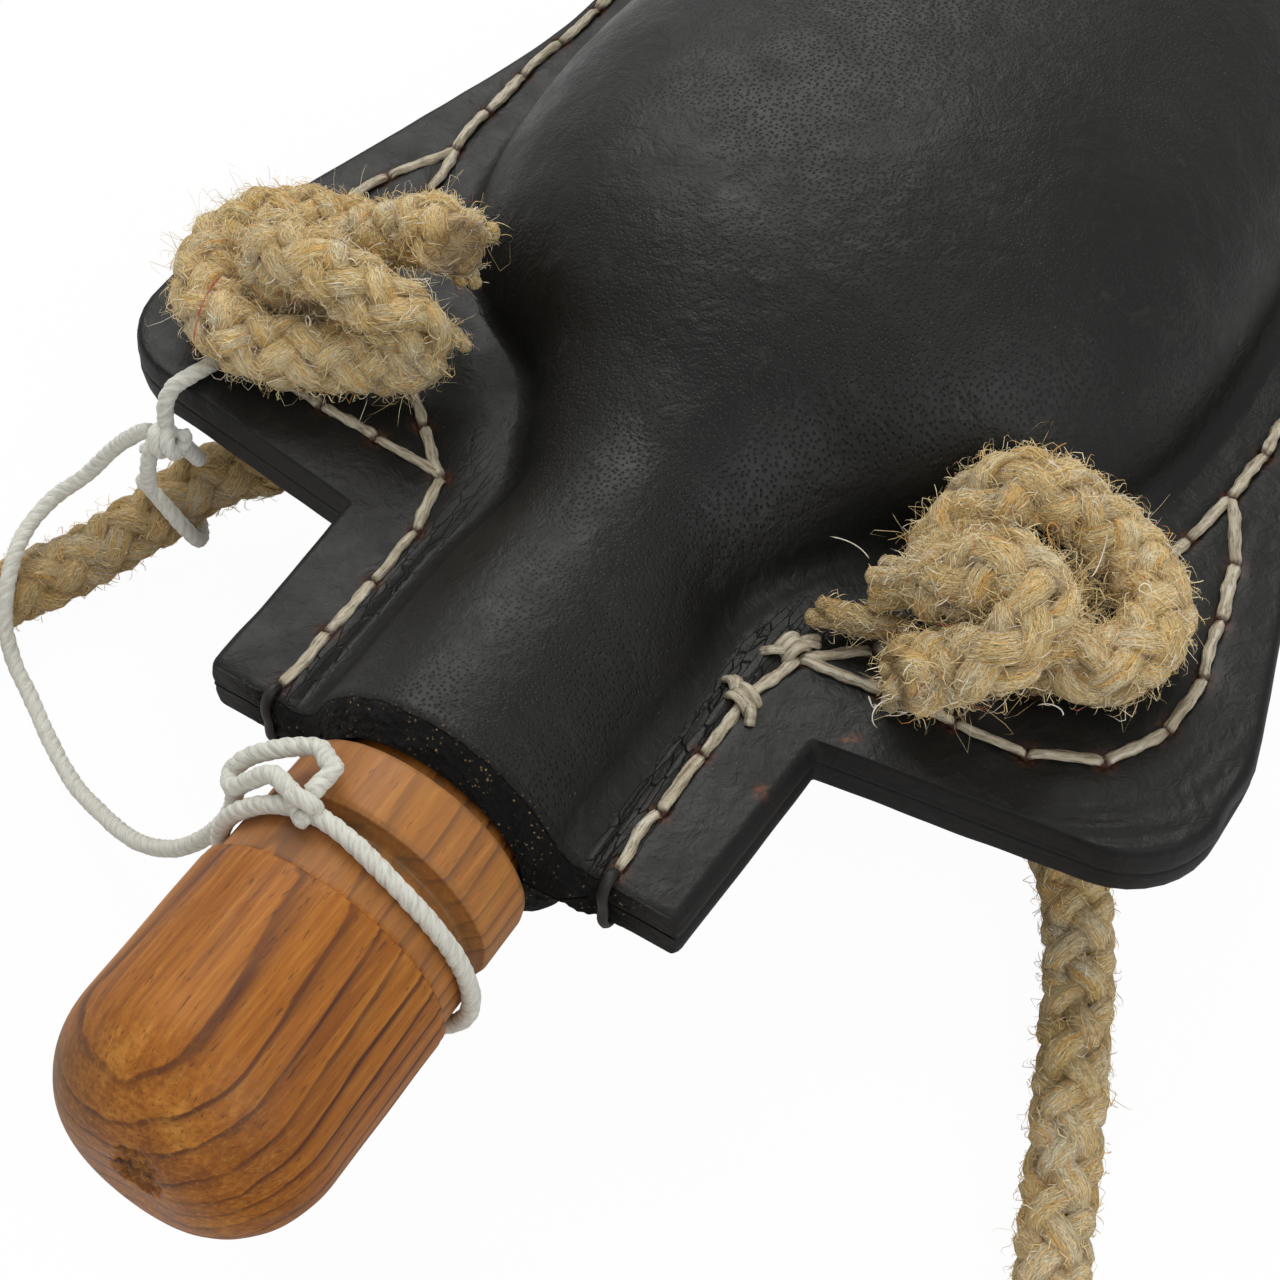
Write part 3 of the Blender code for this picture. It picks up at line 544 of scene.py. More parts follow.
def half_outline():
    """Right edge of a panel, from the mouth's corner round the ear and down to the bottom.

    The sides are straight lines with round corners, and the bottom is a quarter ellipse.
    """
    side = half_width(CHEST_Y)[0] + FOOT_FILLET + FLANGE_MARGIN
    ear = EAR_SPAN / 2
    corners = [(NECK_FLANGE / 2, 0.0), (NECK_FLANGE / 2 + 0.001, NECK_LENGTH),
               (ear, NECK_LENGTH + EAR_SLANT), (ear, EAR_SIDE_END), (side, CHEST_Y - 0.012),
               (side, CHEST_Y)]
    line = [np.array([corners[0], corners[1]])]
    for at, radius in ((2, EAR_CORNER), (3, 0.02), (4, 0.06)):
        line.append(round_corner(corners[at - 1], corners[at], corners[at + 1], radius))
    turn = np.linspace(0.0, np.pi / 2, 60)
    bottom = CHEST_Y + (BODY_LENGTH - CHEST_Y) * np.sin(turn)
    line.append(np.stack([side * np.cos(turn), bottom], -1))
    return np.vstack(line)


print("half outline", len(half_outline()), "points")


# %% Seam lines
def seam_line(y):
    """Main seam's distance from the middle at distances y from the mouth."""
    return half_width(y) + through(SEAM_AWAY, y)


def half_seam():
    """Right half of the main seam from the mouth to the bottom's middle."""
    y = np.linspace(0.0, CHEST_Y, 160)
    right = np.column_stack([seam_line(y), y])
    turn = np.linspace(0, np.pi / 2, 60)[1:]
    wide = right[-1, 0]
    bottom = np.stack([wide * np.cos(turn), CHEST_Y + (END_LENGTH + 0.007) * np.sin(turn)], -1)
    return np.vstack([right, bottom])


def forks():
    """Points beside the main seam where the ear's own seam leaves it and comes back to it."""
    near = NECK_LENGTH + 0.0080
    far = NECK_LENGTH + 0.0530
    return (seam_line(near)[0] + 0.0038, near), (seam_line(far)[0] + 0.0038, far)


def ear_line():
    """Right ear's own seam, from the near fork to the far one."""
    ear = EAR_SPAN / 2
    front = NECK_LENGTH + EAR_SLANT + 0.0072
    near, far = forks()
    route = [near, (near[0] + 0.008, front - 0.0028), (ear - 0.0270, front - 0.0022),
             (ear - 0.0180, front - 0.0010), (ear - 0.0122, front + 0.0035),
             (ear - 0.0095, front + 0.0110), (ear - 0.0095, front + 0.0190),
             (ear - 0.0117, front + 0.0290), far]
    flat = np.column_stack([np.array(route), np.zeros(len(route))])
    return smooth_route(flat, 0.0008)[:, :2]


print("ear seam", round(float(run_along(ear_line())[-1]), 4), "m long")


# %% [markdown]
# ## Stitch holes
# The holes are pricked about 8.6 mm apart. They are worked out first, because the leather dips
# at each one and the thread then runs from hole to hole.

# %% Stitch holes
PITCH = 0.0086
FIRST_HOLE = 0.0018
FORK_HOLE = 0.0360


def holes_along(line, first, last):
    """Even holes on a line, between two distances from its start."""
    run = run_along(line)
    count = max(int(round((last - first) / PITCH)), 1)
    at = np.linspace(first, last, count + 1)
    return np.stack([np.interp(at, run, line[:, i]) for i in range(2)], -1)


main_right = half_seam()
main_run = run_along(main_right)
fork_run = np.interp(FORK_HOLE, main_right[:200, 1], main_run[:200])
main_holes_right = np.vstack([holes_along(main_right, FIRST_HOLE, fork_run)[:-1],
                              holes_along(main_right, fork_run, main_run[-1])])
ear_right = ear_line()
ear_holes_right = holes_along(ear_right, 0.0070, run_along(ear_right)[-1] - 0.0060)
near_hole = main_holes_right[np.argmin(np.abs(main_holes_right[:16, 1] - FORK_HOLE))]
far_hole = main_holes_right[np.argmin(np.abs(main_holes_right[:16, 1] - forks()[1][1] - 0.0015))]
ear_holes_right = np.vstack([near_hole, ear_holes_right, far_hole])
MIRROR = np.array([-1.0, 1.0])
all_holes = np.vstack([main_holes_right, main_holes_right * MIRROR, ear_holes_right,
                       ear_holes_right * MIRROR])
all_seams = np.vstack([main_right, main_right * MIRROR, ear_right, ear_right * MIRROR])
print("stitch holes", len(all_holes))


def nearest(points, targets, reach=0.004):
    """Distance in plan from each point to the nearest target, no more than reach."""
    found = np.full(len(points), reach)
    for first in range(0, len(points), 4096):
        part = points[first:first + 4096]
        away = np.linalg.norm(part[:, None] - targets[None], axis=-1).min(axis=1)
        found[first:first + 4096] = np.minimum(away, reach)
    return found


# %% [markdown]
# ## Panel surface
# The arch over the swell is a superellipse. A small fillet turns it out onto the flange, and the
# flange is ruled from that foot to the outline. The cut edge is rounded over as the maker
# rubbed it. The back of the leather is made in the same way, so that the panel is closed.

# %% Panel rows
LIP = 0.0027
ROWS_SIDE = 190
ROWS_FAN = 90
ARCH = 46
FILLET = 7
FLANGE = 62
EDGE = 9
RIM_COLUMN = ARCH + 1 + FILLET + FLANGE       # where the rounded edge starts
EDGE_ROUND = 0.0011


def panel_sections():
    """Rows of the half sections: spine point, turn, half width, half depth and squareness.

    The first rows lie close together, for the rounded edge of the mouth. Round the bottom the
    spine stands still and the row turns, and its reach is that of an ellipse.
    """
    t = np.linspace(0, 1, ROWS_SIDE + 1)
    y = CHEST_Y * (0.985 * t + 0.015 * t ** 2)
    y[1:4] = (0.00022, 0.00055, 0.0011)
    deep = NECK_RADIUS + (BODY_HALF_DEPTH - NECK_RADIUS) * through(DEPTH_GROWTH, y)
    power = 2.0 + (BODY_SQUARENESS - 2.0) * through(DEPTH_GROWTH, y)
    wide = half_width(y)
    turns = np.pi * np.arange(1, ROWS_FAN) / ROWS_FAN
    reach = 1.0 / np.hypot(np.cos(turns) / wide[-1], np.sin(turns) / END_LENGTH)
    spine = np.concatenate([y, np.full(ROWS_FAN - 1, CHEST_Y), y[::-1]])
    turn = np.concatenate([0 * y, turns, 0 * y + np.pi])
    a = np.concatenate([wide, reach, wide[::-1]])
    b = np.concatenate([deep, np.full(ROWS_FAN - 1, deep[-1]), deep[::-1]])
    n = np.concatenate([power, np.full(ROWS_FAN - 1, power[-1]), power[::-1]])
    return spine, turn, a[:, None], b[:, None], n[:, None]


print("panel rows", len(panel_sections()[0]))


# %% Where the rows end
def outline_for(spine, turn):
    """Point of the outer edge that each row's flange runs to.

    The keys pair a distance down the spine with a distance down the outline, so that rows gather
    on the ear. Round the bottom the rows keep their turn.
    """
    line = half_outline()
    run, y = run_along(line), line[:, 1]
    ear_side = np.interp(0.0445, y[26:80], run[26:80])
    keys = ((0.0, 0.0), (0.0270, run[1]), (0.0450, run[2]), (0.0520, ear_side + 0.004),
            (0.0640, np.interp(0.086, y[26:], run[26:])),
            (CHEST_Y, np.interp(CHEST_Y, y[26:], run[26:])))
    at = np.interp(spine, *np.array(keys).T)
    x, down = np.interp(at, run, line[:, 0]), np.interp(at, run, y)
    side = line[np.argmax(y >= CHEST_Y - 1e-9), 0]
    right, left = turn < 1e-9, turn > np.pi - 1e-9
    fan_y = CHEST_Y + (BODY_LENGTH - CHEST_Y) * np.sin(turn)
    return np.stack([np.where(right, x, np.where(left, -x, side * np.cos(turn))),
                     np.where(right | left, down, fan_y)], -1)


# %% Panel sections
def swell_section(a, b, n):
    """Radius and height of the swell and of the fillet at its foot, for every row.

    On the swell (radius / a) to the power n plus (height / b) to the power n is 1. The fillet is
    a quadratic curve from there to the flange.
    """
    angle = np.arccos(((SURFACE + FOOT_FILLET) / b) ** (n / 2)) * np.linspace(0, 1, ARCH + 1)
    arch_r = a * np.sin(angle) ** (2 / n)
    arch_z = b * np.cos(angle) ** (2 / n)
    side = a * (1 - (SURFACE / b) ** n) ** (1 / n)
    pull = 0.12 * FOOT_FILLET
    f = np.linspace(0, 1, FILLET + 1)[1:]
    foot_r = (arch_r[:, -1:] * (1 - f) ** 2 + 2 * (side + pull) * f * (1 - f)
              + (side + FOOT_FILLET) * f ** 2)
    foot_z = arch_z[:, -1:] * (1 - f) ** 2 + 2 * (SURFACE + pull) * f * (1 - f) + SURFACE * f ** 2
    return np.hstack([arch_r, foot_r]), np.hstack([arch_z, foot_z])


def flange_section(foot, rim):
    """Plan and heights of the flange, its rounded edge and its cut wall.

    The flange is ruled from the foot to the outline, the edge is a quarter circle, and the wall
    bulges by half a sine.
    """
    outward = unit(rim - foot)[:, None]
    foot, rim = foot[:, None], rim[:, None]
    stop = rim - outward * EDGE_ROUND
    u = np.linspace(0, 1, FLANGE + 1)[1:, None]
    bend = np.linspace(0, np.pi / 2, 5)[1:]
    bulge = 0.00022 * np.sin(np.linspace(0, np.pi, EDGE + 1))[1:]
    bulge[-1] = -0.00012
    plan = np.concatenate([foot * (1 - u) + stop * u,
                           stop + outward * (EDGE_ROUND * np.sin(bend))[:, None],
                           rim + outward * bulge[:, None], rim - outward * 0.0005], 1)
    height = np.concatenate([np.full(FLANGE, SURFACE), SURFACE - EDGE_ROUND * (1 - np.cos(bend)),
                             np.linspace(SURFACE - EDGE_ROUND, 0.0, EDGE + 1)[1:], [CLEAR / 2]])
    return plan, np.broadcast_to(height, plan.shape[:2])


# %% Panel grid
def panel_grid():
    """The skin from the ridge to the lower edge, and the back from there to the hollow's ridge.

    The hollow is the same superellipse, one leather's thickness further in.
    """
    spine, turn, a, b, n = panel_sections()
    direction = np.stack([np.cos(turn), np.sin(turn)], -1)[:, None]
    base = np.stack([np.zeros(len(spine)), spine], -1)[:, None]
    radius, height = swell_section(a, b, n)
    swell = base + radius[..., None] * direction
    flange, flange_height = flange_section(swell[:, -1], outline_for(spine, turn))
    skin = np.concatenate([np.concatenate([swell, flange], 1),
                           np.concatenate([height, flange_height], 1)[..., None]], -1)
    inner_a, inner_b = a - LEATHER, b - LEATHER
    angle = np.arccos((CLEAR / 2 / inner_b) ** (n / 2)) * (1 - np.linspace(0, 1, 15))
    inside = base + (inner_a * np.sin(angle) ** (2 / n))[..., None] * direction
    hollow = np.concatenate([inside, (inner_b * np.cos(angle) ** (2 / n))[..., None]], -1)
    w = np.linspace(0, 1, 9)[1:-1, None]
    under = flange[:, -1:] * (1 - w) + inside[:, :1] * w
    under = np.concatenate([under, np.full((len(spine), 7, 1), CLEAR / 2)], -1)
    return skin, np.concatenate([under, hollow], 1)


print("panel skin", panel_grid()[0].shape[:2], "and back", panel_grid()[1].shape[:2])


# %% [markdown]
# ## Marks in the leather
# The leather sinks under the stitches and into the holes, and is never quite flat. Where it was
# bent wet, beside the neck and at the right ear's corner, it stayed in folds. The mouth was cut
# off roughly, and the lip of the hollow reaches out a little.

# %% Folds
SCARS = ((0.0345, 0.0292, 0.0005), (0.0352, 0.0300, 0.0005), (-0.0622, 0.0360, 0.0004),
         (-0.0590, 0.0350, 0.0005), (0.0300, 0.0185, 0.0008), (-0.0655, 0.0560, 0.0006))


def neck_band(x, y):
    """1 on the band between the neck's foot and its stitches, strongest on the right side."""
    beside = np.abs(x) - half_width(np.clip(y, 0, CHEST_Y))
    middle = 0.0036 + 0.0040 * np.clip((y - 0.026) / 0.02, 0, 1)
    wide = 0.0019 + 0.0022 * np.clip((y - 0.026) / 0.015, 0, 1)
    band = np.exp(-((beside - middle) / wide) ** 4) * np.clip((0.046 - y) / 0.022, 0, 1)
    return band * np.where(x > 0, 1.0, 0.35)


def wrinkle_field(plan):
    """Raised folds beside the neck and on the right ear's corner.

    Beside the neck a bell curve lifts a ridge and another sinks a crease, with waves between
    them. On the ear a sine of the distance from one point gives rings.
    """
    x, y = plan[:, 0], plan[:, 1]
    beside = np.abs(x) - half_width(np.clip(y, 0, CHEST_Y))
    middle = 0.0040 + 0.0035 * np.clip((y - 0.026) / 0.02, 0, 1)
    flat = np.column_stack([x, y, 0 * x])
    folds = np.abs(waves(flat * (1.0, 0.22, 1.0), 0.0026, 5)) - 0.4
    ridge = np.exp(-((beside - middle) / 0.0017) ** 2) * np.clip((0.046 - y) / 0.02, 0, 1)
    crease = np.exp(-((beside - 0.0020) / 0.0008) ** 2) * np.clip((0.040 - y) / 0.02, 0, 1)
    lift = 0.00020 * neck_band(x, y) * folds + 0.00042 * ridge - 0.00030 * crease
    away = np.hypot(x - 0.0500, y - 0.0540)
    rings = np.sin(2 * np.pi * (away + 0.0007 * waves(flat, 0.012, 9)) / 0.0026)
    corner = np.exp(-((away - 0.0230) / 0.0058) ** 2) * np.clip((x - 0.057) / 0.006, 0, 1)
    corner = corner * np.clip((0.056 - y) / 0.008, 0, 1)
    return lift + 0.00026 * corner * rings


print("a fold beside the neck", 1e3 * wrinkle_field(np.array([[0.021, 0.010]])).round(5), "mm")


# %% Grooves, dips and lumps
GROOVE_DEEP, GROOVE_WIDE = 0.00030, 0.0012
DIP_DEEP, DIP_WIDE = 0.0007, 0.0007
ROPE_DIP_DEEP, ROPE_DIP_WIDE = 0.0030, 0.0042


def surface_lift(flat, side, seed):
    """How far each point of the plain skin rises.

    Bell curves of the distance make the seam's groove, the needle's dips and the ropes' holes.
    """
    plan = flat[:, :2]
    groove = np.exp(-(nearest(plan, all_seams) / GROOVE_WIDE) ** 2)
    dips = np.exp(-(nearest(plan, all_holes) / DIP_WIDE) ** 2)
    hole = np.minimum(np.hypot(plan[:, 0] - ROPE_HOLE_X, plan[:, 1] - ROPE_HOLE_Y),
                      np.hypot(plan[:, 0] + ROPE_HOLE_X, plan[:, 1] - ROPE_HOLE_Y))
    lift = (-GROOVE_DEEP * groove - DIP_DEEP * dips
            - ROPE_DIP_DEEP * np.exp(-(hole / ROPE_DIP_WIDE) ** 4))
    lift += 0.00022 * waves(flat, 0.030, seed) + 0.00007 * waves(flat, 0.009, seed + 1)
    if side > 0:
        lift += wrinkle_field(plan)
    return lift * np.clip(flat[:, 1] / 0.002, 0.15, 1.0)


def formed_skin(skin, side, seed):
    """The skin moved along its normals, with the mouth's edge rounded and the ridge closed."""
    rows, columns = skin.shape[:2]
    flat = skin.reshape(-1, 3)
    normal = unit(np.cross(np.gradient(skin, axis=1), np.gradient(skin, axis=0))).reshape(-1, 3)
    normal = np.where(np.isfinite(normal), normal, 0.0)
    top = flat[:, 2] > CLEAR / 2 + 0.0006
    column = np.arange(rows * columns) % columns
    wall = (column >= RIM_COLUMN) & (column < columns - 2)
    mouth_round = 0.0004 * np.clip(1 - flat[:, 1] / 0.0011, 0, 1) ** 2
    lift = np.where(top, surface_lift(flat, side, seed), 0.0)
    lift = lift - np.where(top | wall, mouth_round, 0.0)
    moved = (flat + normal * lift[:, None]).reshape(skin.shape)
    moved[:, 0, 0] = 0.0
    moved[:, 0] = (moved[:, 0] + moved[::-1, 0]) / 2
    pole = slice(ROWS_SIDE, rows - ROWS_SIDE)
    moved[pole, 0] = moved[pole, 0].mean(axis=0)
    return moved


# %% Mouth
CAP_STEPS = 26


def mouth_share(x):
    """How rough the cut face is: fully so round the bore and on the right, less at the ends."""
    return np.clip((0.0285 - np.abs(x)) / 0.006, 0.0, 1.0) * np.where(x > 0, 1.0, 0.75)


print("roughness of the mouth at the middle and 25 mm aside", mouth_share(np.array([0, 0.025])))


def slanted_lip(back):
    """The back with the lip of the hollow drawn out at both ends, a smooth step wide."""
    lip = np.clip((0.0215 - np.abs(back[0, :, 0])) / 0.0045, 0, 1)
    lip = LIP * eased(lip)
    for row, share in enumerate((1.0, 0.72, 0.35, 0.1)):
        back[row, :, 1] -= lip * share
        back[-1 - row, :, 1] -= lip * share
    return back


def mouth_cap(first, back_row, seed):
    """Rough cut face of the leather, between an end row of the skin and one of the back.

    It is ruled between the two rows at equal shares of their lengths, and waves push it out.
    """
    second = np.concatenate([first[-1:], back_row])[::-1]
    share = run_along(first) / run_along(first)[-1]
    run = run_along(second)
    other = second[np.argmin(np.abs((share * run[-1])[:, None] - run[None]), axis=1)]
    w = np.linspace(0, 1, CAP_STEPS)[:, None]
    cap = first[:, None] * (1 - w) + other[:, None] * w
    rough = 0.00030 * waves(cap, 0.0012, seed + 4) + 0.00040 * waves(cap, 0.004, seed + 5)
    inside = np.sin(np.pi * w[:, 0]) ** 0.5
    inside = inside * np.clip((0.027 - np.abs(cap[..., 0])) / 0.004, 0.12, 1)
    cap[..., 1] -= rough * inside + 0.0003 * inside
    return cap


# %% Panels
def make_panel(name, side, seed):
    """One panel: its skin, its back and the two cut ends, with its painted values."""
    skin, back = panel_grid()
    rows, columns = skin.shape[:2]
    moved, back = formed_skin(skin, side, seed), slanted_lip(back)
    back = np.concatenate([moved[:, -1:], back], 1)
    caps = [mouth_cap(moved[row], back[row, 1:], seed) for row in (0, -1)]
    caps[0] = caps[0][::-1]
    grids = [(grid, False, np.arange(len(grid)), np.arange(grid.shape[1]))
             for grid in (moved, back, *caps)]
    x, y = skin[..., 0].ravel(), skin[..., 1].ravel()
    plan = np.stack([x, y], -1)
    scars = sum(np.exp(-(np.hypot(x - at_x, y - at_y) / r) ** 2) for at_x, at_y, r in SCARS)
    on_skin = {"cut": np.tile(np.arange(columns) >= RIM_COLUMN, rows),
               "mouth": 0.5 * np.clip(1.4 - y / 0.0008, 0, 1) * mouth_share(x),
               "rust": np.clip(np.exp(-(nearest(plan, all_holes) / 0.0011) ** 2) + scars, 0, 1),
               "crackle": neck_band(x, y) if side > 0 else 0 * x}
    on_caps = {"cut": [np.ones(cap.size // 3) for cap in caps],
               "mouth": [mouth_share(cap[..., 0]).ravel() for cap in caps]}
    none = [np.zeros(cap.size // 3) for cap in caps]
    painted = {title: np.concatenate([values, np.zeros(back.size // 3), *on_caps.get(title, none)])
               for title, values in on_skin.items()}
    if side < 0:
        grids = [(np.dstack([grid[..., :2], np.maximum(-grid[..., 2], -REST_DEPTH)]), *rest)
                 for grid, *rest in grids]
    item = make_mesh(name, grids, leather, flip=side > 0, painted=painted)
    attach(item, "bottle")
    return item


front = make_panel("leather_front", 1.0, 11)
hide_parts("front_panel")
back_panel = make_panel("leather_back", -1.0, 31)
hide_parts("back_panel")


# %% [markdown]
# ## Pitch lining
# Bottles of this kind are coated inside with brewer's pitch. It is dark and a little glossy, and
# it is only seen through the mouth once the stopper is out.

# %% Pitch
pitch = Look("brewers_pitch")
pitch_colour = pitch.ramp(pitch.noise(60, 4.0), (0.3, (0.010, 0.008, 0.007)),
                          (0.7, (0.024, 0.017, 0.012)))
pitch.finish(pitch_colour, pitch.ramp(pitch.noise(120), (0.3, 0.22), (0.7, 0.45)),
             pitch.bump(pitch.noise(180, 3.0), 0.4, 0.0008))
lining = bpy.data.objects["pitch_lining"]
lining.data.materials.clear()
lining.data.materials.append(pitch.material)


# %% [markdown]
# ## Waxed thread
# Each stitch is a flat, slightly twisted ribbon of waxed linen. It leaves one hole, lies on the
# leather and goes down the next. Dirt and dye make its ends brown.

# %% Thread finish
def thread_look():
    """Greyed linen with streaks along the thread, brown grime at the holes and tar at the mouth."""
    look = Look("waxed_linen")
    streak = look.grain("UV", (500, 9, 1), 4.0, 0.7)
    long_streak = look.grain("UV", (130, 6, 1), 4.0, 0.65)
    colour = look.ramp(long_streak, (0.28, (0.17, 0.125, 0.068)), (0.46, (0.47, 0.405, 0.285)),
                       (0.72, (0.70, 0.655, 0.53)))
    colour = look.mix(look.ramp(streak, (0.33, 0.8), (0.52, 0.0)), colour, (0.115, 0.078, 0.038))
    grime = look.paint("dirt")
    dark = look.sum("MULTIPLY_ADD", look.noise(1300, 3.0, 0.7), 0.7,
                    look.sum("SUBTRACT", grime, 0.25))
    colour = look.mix(look.ramp(dark, (0.30, 0.0), (0.62, 1.0)), colour, (0.062, 0.024, 0.012))
    colour = look.mix(look.ramp(grime, (0.86, 0.0), (0.98, 1.0)), colour, (0.012, 0.010, 0.009))
    return look.finish(colour, 0.55, look.bump(long_streak, 0.6, 0.0004))


thread = thread_look()

# %% Stitch line
THREAD_THICK, THREAD_WIDE = 0.00043, 0.00068
HOLE_DEPTH = 0.0010
STITCH_SIDES = 14
STITCH_LIFT = SURFACE + 0.00016


def stitch_line(start, end, out, rng):
    """Middle line of a stitch, its places s from 0 to 1, and the distance between its holes.

    It is a straight line plus two sines sideways. Near the holes it drops by a smooth step.
    """
    s = 0.5 - 0.5 * np.cos(np.pi * np.linspace(0, 1, 19))
    run = end - start
    length = np.linalg.norm(run)
    extra = 0.00010 / max(length, 1e-6)
    path = start + run * ((1 + 2 * extra) * s - extra)[:, None]
    ends = np.clip(np.minimum(s, 1 - s) / 0.085, 0, 1)
    climb = eased(ends)
    sideways = unit(np.array([-run[1], run[0]]))
    path = path + sideways * (rng.normal(0, 0.00020) * np.sin(np.pi * s)
                              + rng.normal(0, 0.00009) * np.sin(2 * np.pi * s))[:, None]
    height = STITCH_LIFT - HOLE_DEPTH * (1 - climb) + rng.normal(0, 0.00005)
    return np.column_stack([path, height * out]), s, length


# %% One stitch
def stitch_grid(start, end, out, rng):
    """One stitch, its UV coordinates and its dirt.

    A ring is a flat ellipse whose width wavers, whose ridges twist with the thread, and which
    turns a little along the stitch.
    """
    line, s, length = stitch_line(start, end, out, rng)
    twist = 0.5 * (rng.uniform(-0.5, 0.5) + (s - 0.5) * rng.uniform(-1.4, 1.4))
    side = unit(np.cross(unit(np.gradient(line, axis=0)), np.array([0.0, 0.0, 1.0])))
    up = np.cross(side, unit(np.gradient(line, axis=0)))
    angle = ring_angles(STITCH_SIDES)
    wave = np.sin(2 * np.pi * (s * length / 0.0031 + rng.uniform()))
    waver = 1 + 0.16 * wave * rng.uniform(0.3, 1)
    swell = (0.90 + 0.12 * np.sin(np.pi * s)) * rng.uniform(0.9, 1.12) * waver
    pinch = np.concatenate([[1e-3], np.ones(len(s) - 2), [1e-3]])
    a, b = THREAD_WIDE * swell * pinch, THREAD_THICK * (2 - waver) * pinch
    ridges = 5 * angle + 2 * np.pi * s[:, None] * length / 0.0042 + rng.uniform(0, 6)
    ripple = 1 + 0.13 * np.cos(ridges)
    ca, sb = np.cos(angle) * a[:, None] * ripple, np.sin(angle) * b[:, None] * ripple
    c, d = np.cos(twist)[:, None], np.sin(twist)[:, None]
    grid = (line[:, None] + (ca * c - sb * d)[..., None] * side[:, None]
            + (ca * d + sb * c)[..., None] * up[:, None])
    dirt = np.clip(0.84 - np.minimum(s, 1 - s) * length / 0.0013, 0, 0.84)
    return (grid, s * length + rng.uniform(0, 1),
            np.arange(STITCH_SIDES + 1) / STITCH_SIDES + rng.uniform(0, 1),
            np.repeat(dirt, STITCH_SIDES))


trial = stitch_grid(np.zeros(2), np.array([PITCH, 0.0]), 1.0, np.random.default_rng(0))[0]
print("one stitch has", trial[..., 0].size, "points")

# %% Sewing
WRAP_WIDE, WRAP_THICK = 0.00062, 0.00045
WRAP_STEP = 0.0005


def wrap_grid(points, rng):
    """Thread laid along any points, such as a wrap over the edge."""
    path = smooth_route(points, WRAP_STEP)
    grid = tube_grid(path, WRAP_WIDE, 12, WRAP_THICK / WRAP_WIDE, 4, 0.08)[:, ::-1]
    u = np.linspace(0, len(path) * WRAP_STEP, len(grid)) + rng.uniform(0, 1)
    return grid, u, np.arange(13) / 12


def seam_piece(name, lines, node, seed, extra=()):
    """Stitches of several rows of holes on both faces, and extra turns of thread, as one piece."""
    rng = np.random.default_rng(seed)
    grids, dirt = [], []
    for holes in lines:
        for start, end in zip(holes[:-1], holes[1:]):
            for out in (1.0, -1.0):
                grid, u, v, dirt_here = stitch_grid(start, end, out, rng)
                grids.append((grid, True, u, v))
                dirt.append(dirt_here)
    rng = np.random.default_rng(seed + 50)
    for points, dark in extra:
        grid, u, v = wrap_grid(points, rng)
        grids.append((grid, True, u, v))
        dirt.append(np.full(grid.size // 3, dark))
    item = make_mesh(name, grids, thread, painted={"dirt": np.concatenate(dirt)})
    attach(item, "bottle")
    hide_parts(node)
    return item


# %% [markdown]
# ## Wraps and whipping
# The first stitch of each row goes over the mouth's edge, black with wax. At two places the
# maker tied a new thread on with a few short turns. Each turn is a route through a few points.

# %% Wraps and whipping
def over_mouth(side):
    """The first stitch over the mouth's edge, front hole to back hole, all tar."""
    x, y = side * main_holes_right[0][0], main_holes_right[0][1]
    t = SURFACE + 0.0004
    edge = side * seam_line(0.0)[0]
    front_half = ((x, y, t - 0.001), (x, y - 0.0006, t), (edge, 0.0010, t + 0.0001),
                  (edge, -0.0004, t - 0.0003), (edge, -0.0010, t - 0.0014))
    back_half = tuple((px, py, -pz) for px, py, pz in front_half[::-1])
    return (*front_half, (edge, -0.0010, 0), *back_half), 1.0


def knot_loops(x, y, along):
    """Whipping knot: three short turns of thread across the seam, and three loose ends."""
    t = SURFACE + 0.0006
    middle, along = np.array([x, y]), np.array(along)
    across = np.array([-along[1], along[0]])
    made = []
    for k, reach in enumerate((0.0016, 0.0013, 0.0017)):
        c = middle + along * (k - 1) * 0.0009
        p, q = c - across * reach, c + across * reach
        made.append((((*p, t - 0.0009), (*(p * 0.8 + q * 0.2), t + 0.0003), (*c, t + 0.0007),
                      (*(p * 0.2 + q * 0.8), t + 0.0003), (*q, t - 0.0009)), 0.15))
    for way, off in ((0.6, 0.0007), (-0.9, -0.0009), (0.2, 0.0013)):
        start = middle + across * off
        tip = start + (along * way + across * np.sign(off)) * 0.0021
        made.append((((*start, t), (*((start + tip) / 2 + along * 0.0003), t + 0.0003),
                      (*tip, t - 0.0006)), 0.25))
    return made


# %% Seams
knot_at, knot_next = main_holes_right[3:5]
extra = [over_mouth(1), over_mouth(-1)]
extra += knot_loops(knot_at[0], knot_at[1], unit(knot_next - knot_at))
extra += knot_loops(near_hole[0] - 0.0012, near_hole[1] + 0.0006, unit(np.array([1.0, -0.4])))
seam_piece("stitches_main", [main_holes_right, main_holes_right * MIRROR], "main_seam_thread", 3,
           extra)
seam_piece("stitches_ear_right", [ear_holes_right], "ear_seam_right", 4)
seam_piece("stitches_ear_left", [ear_holes_right * MIRROR], "ear_seam_left", 5)


# %% [markdown]
# ## Turned stopper
# The stopper is one piece of a reddish hardwood, turned between centres. Its profile is swept
# round the neck's axis. The grain runs along it, so its lines bend over the rounded end.

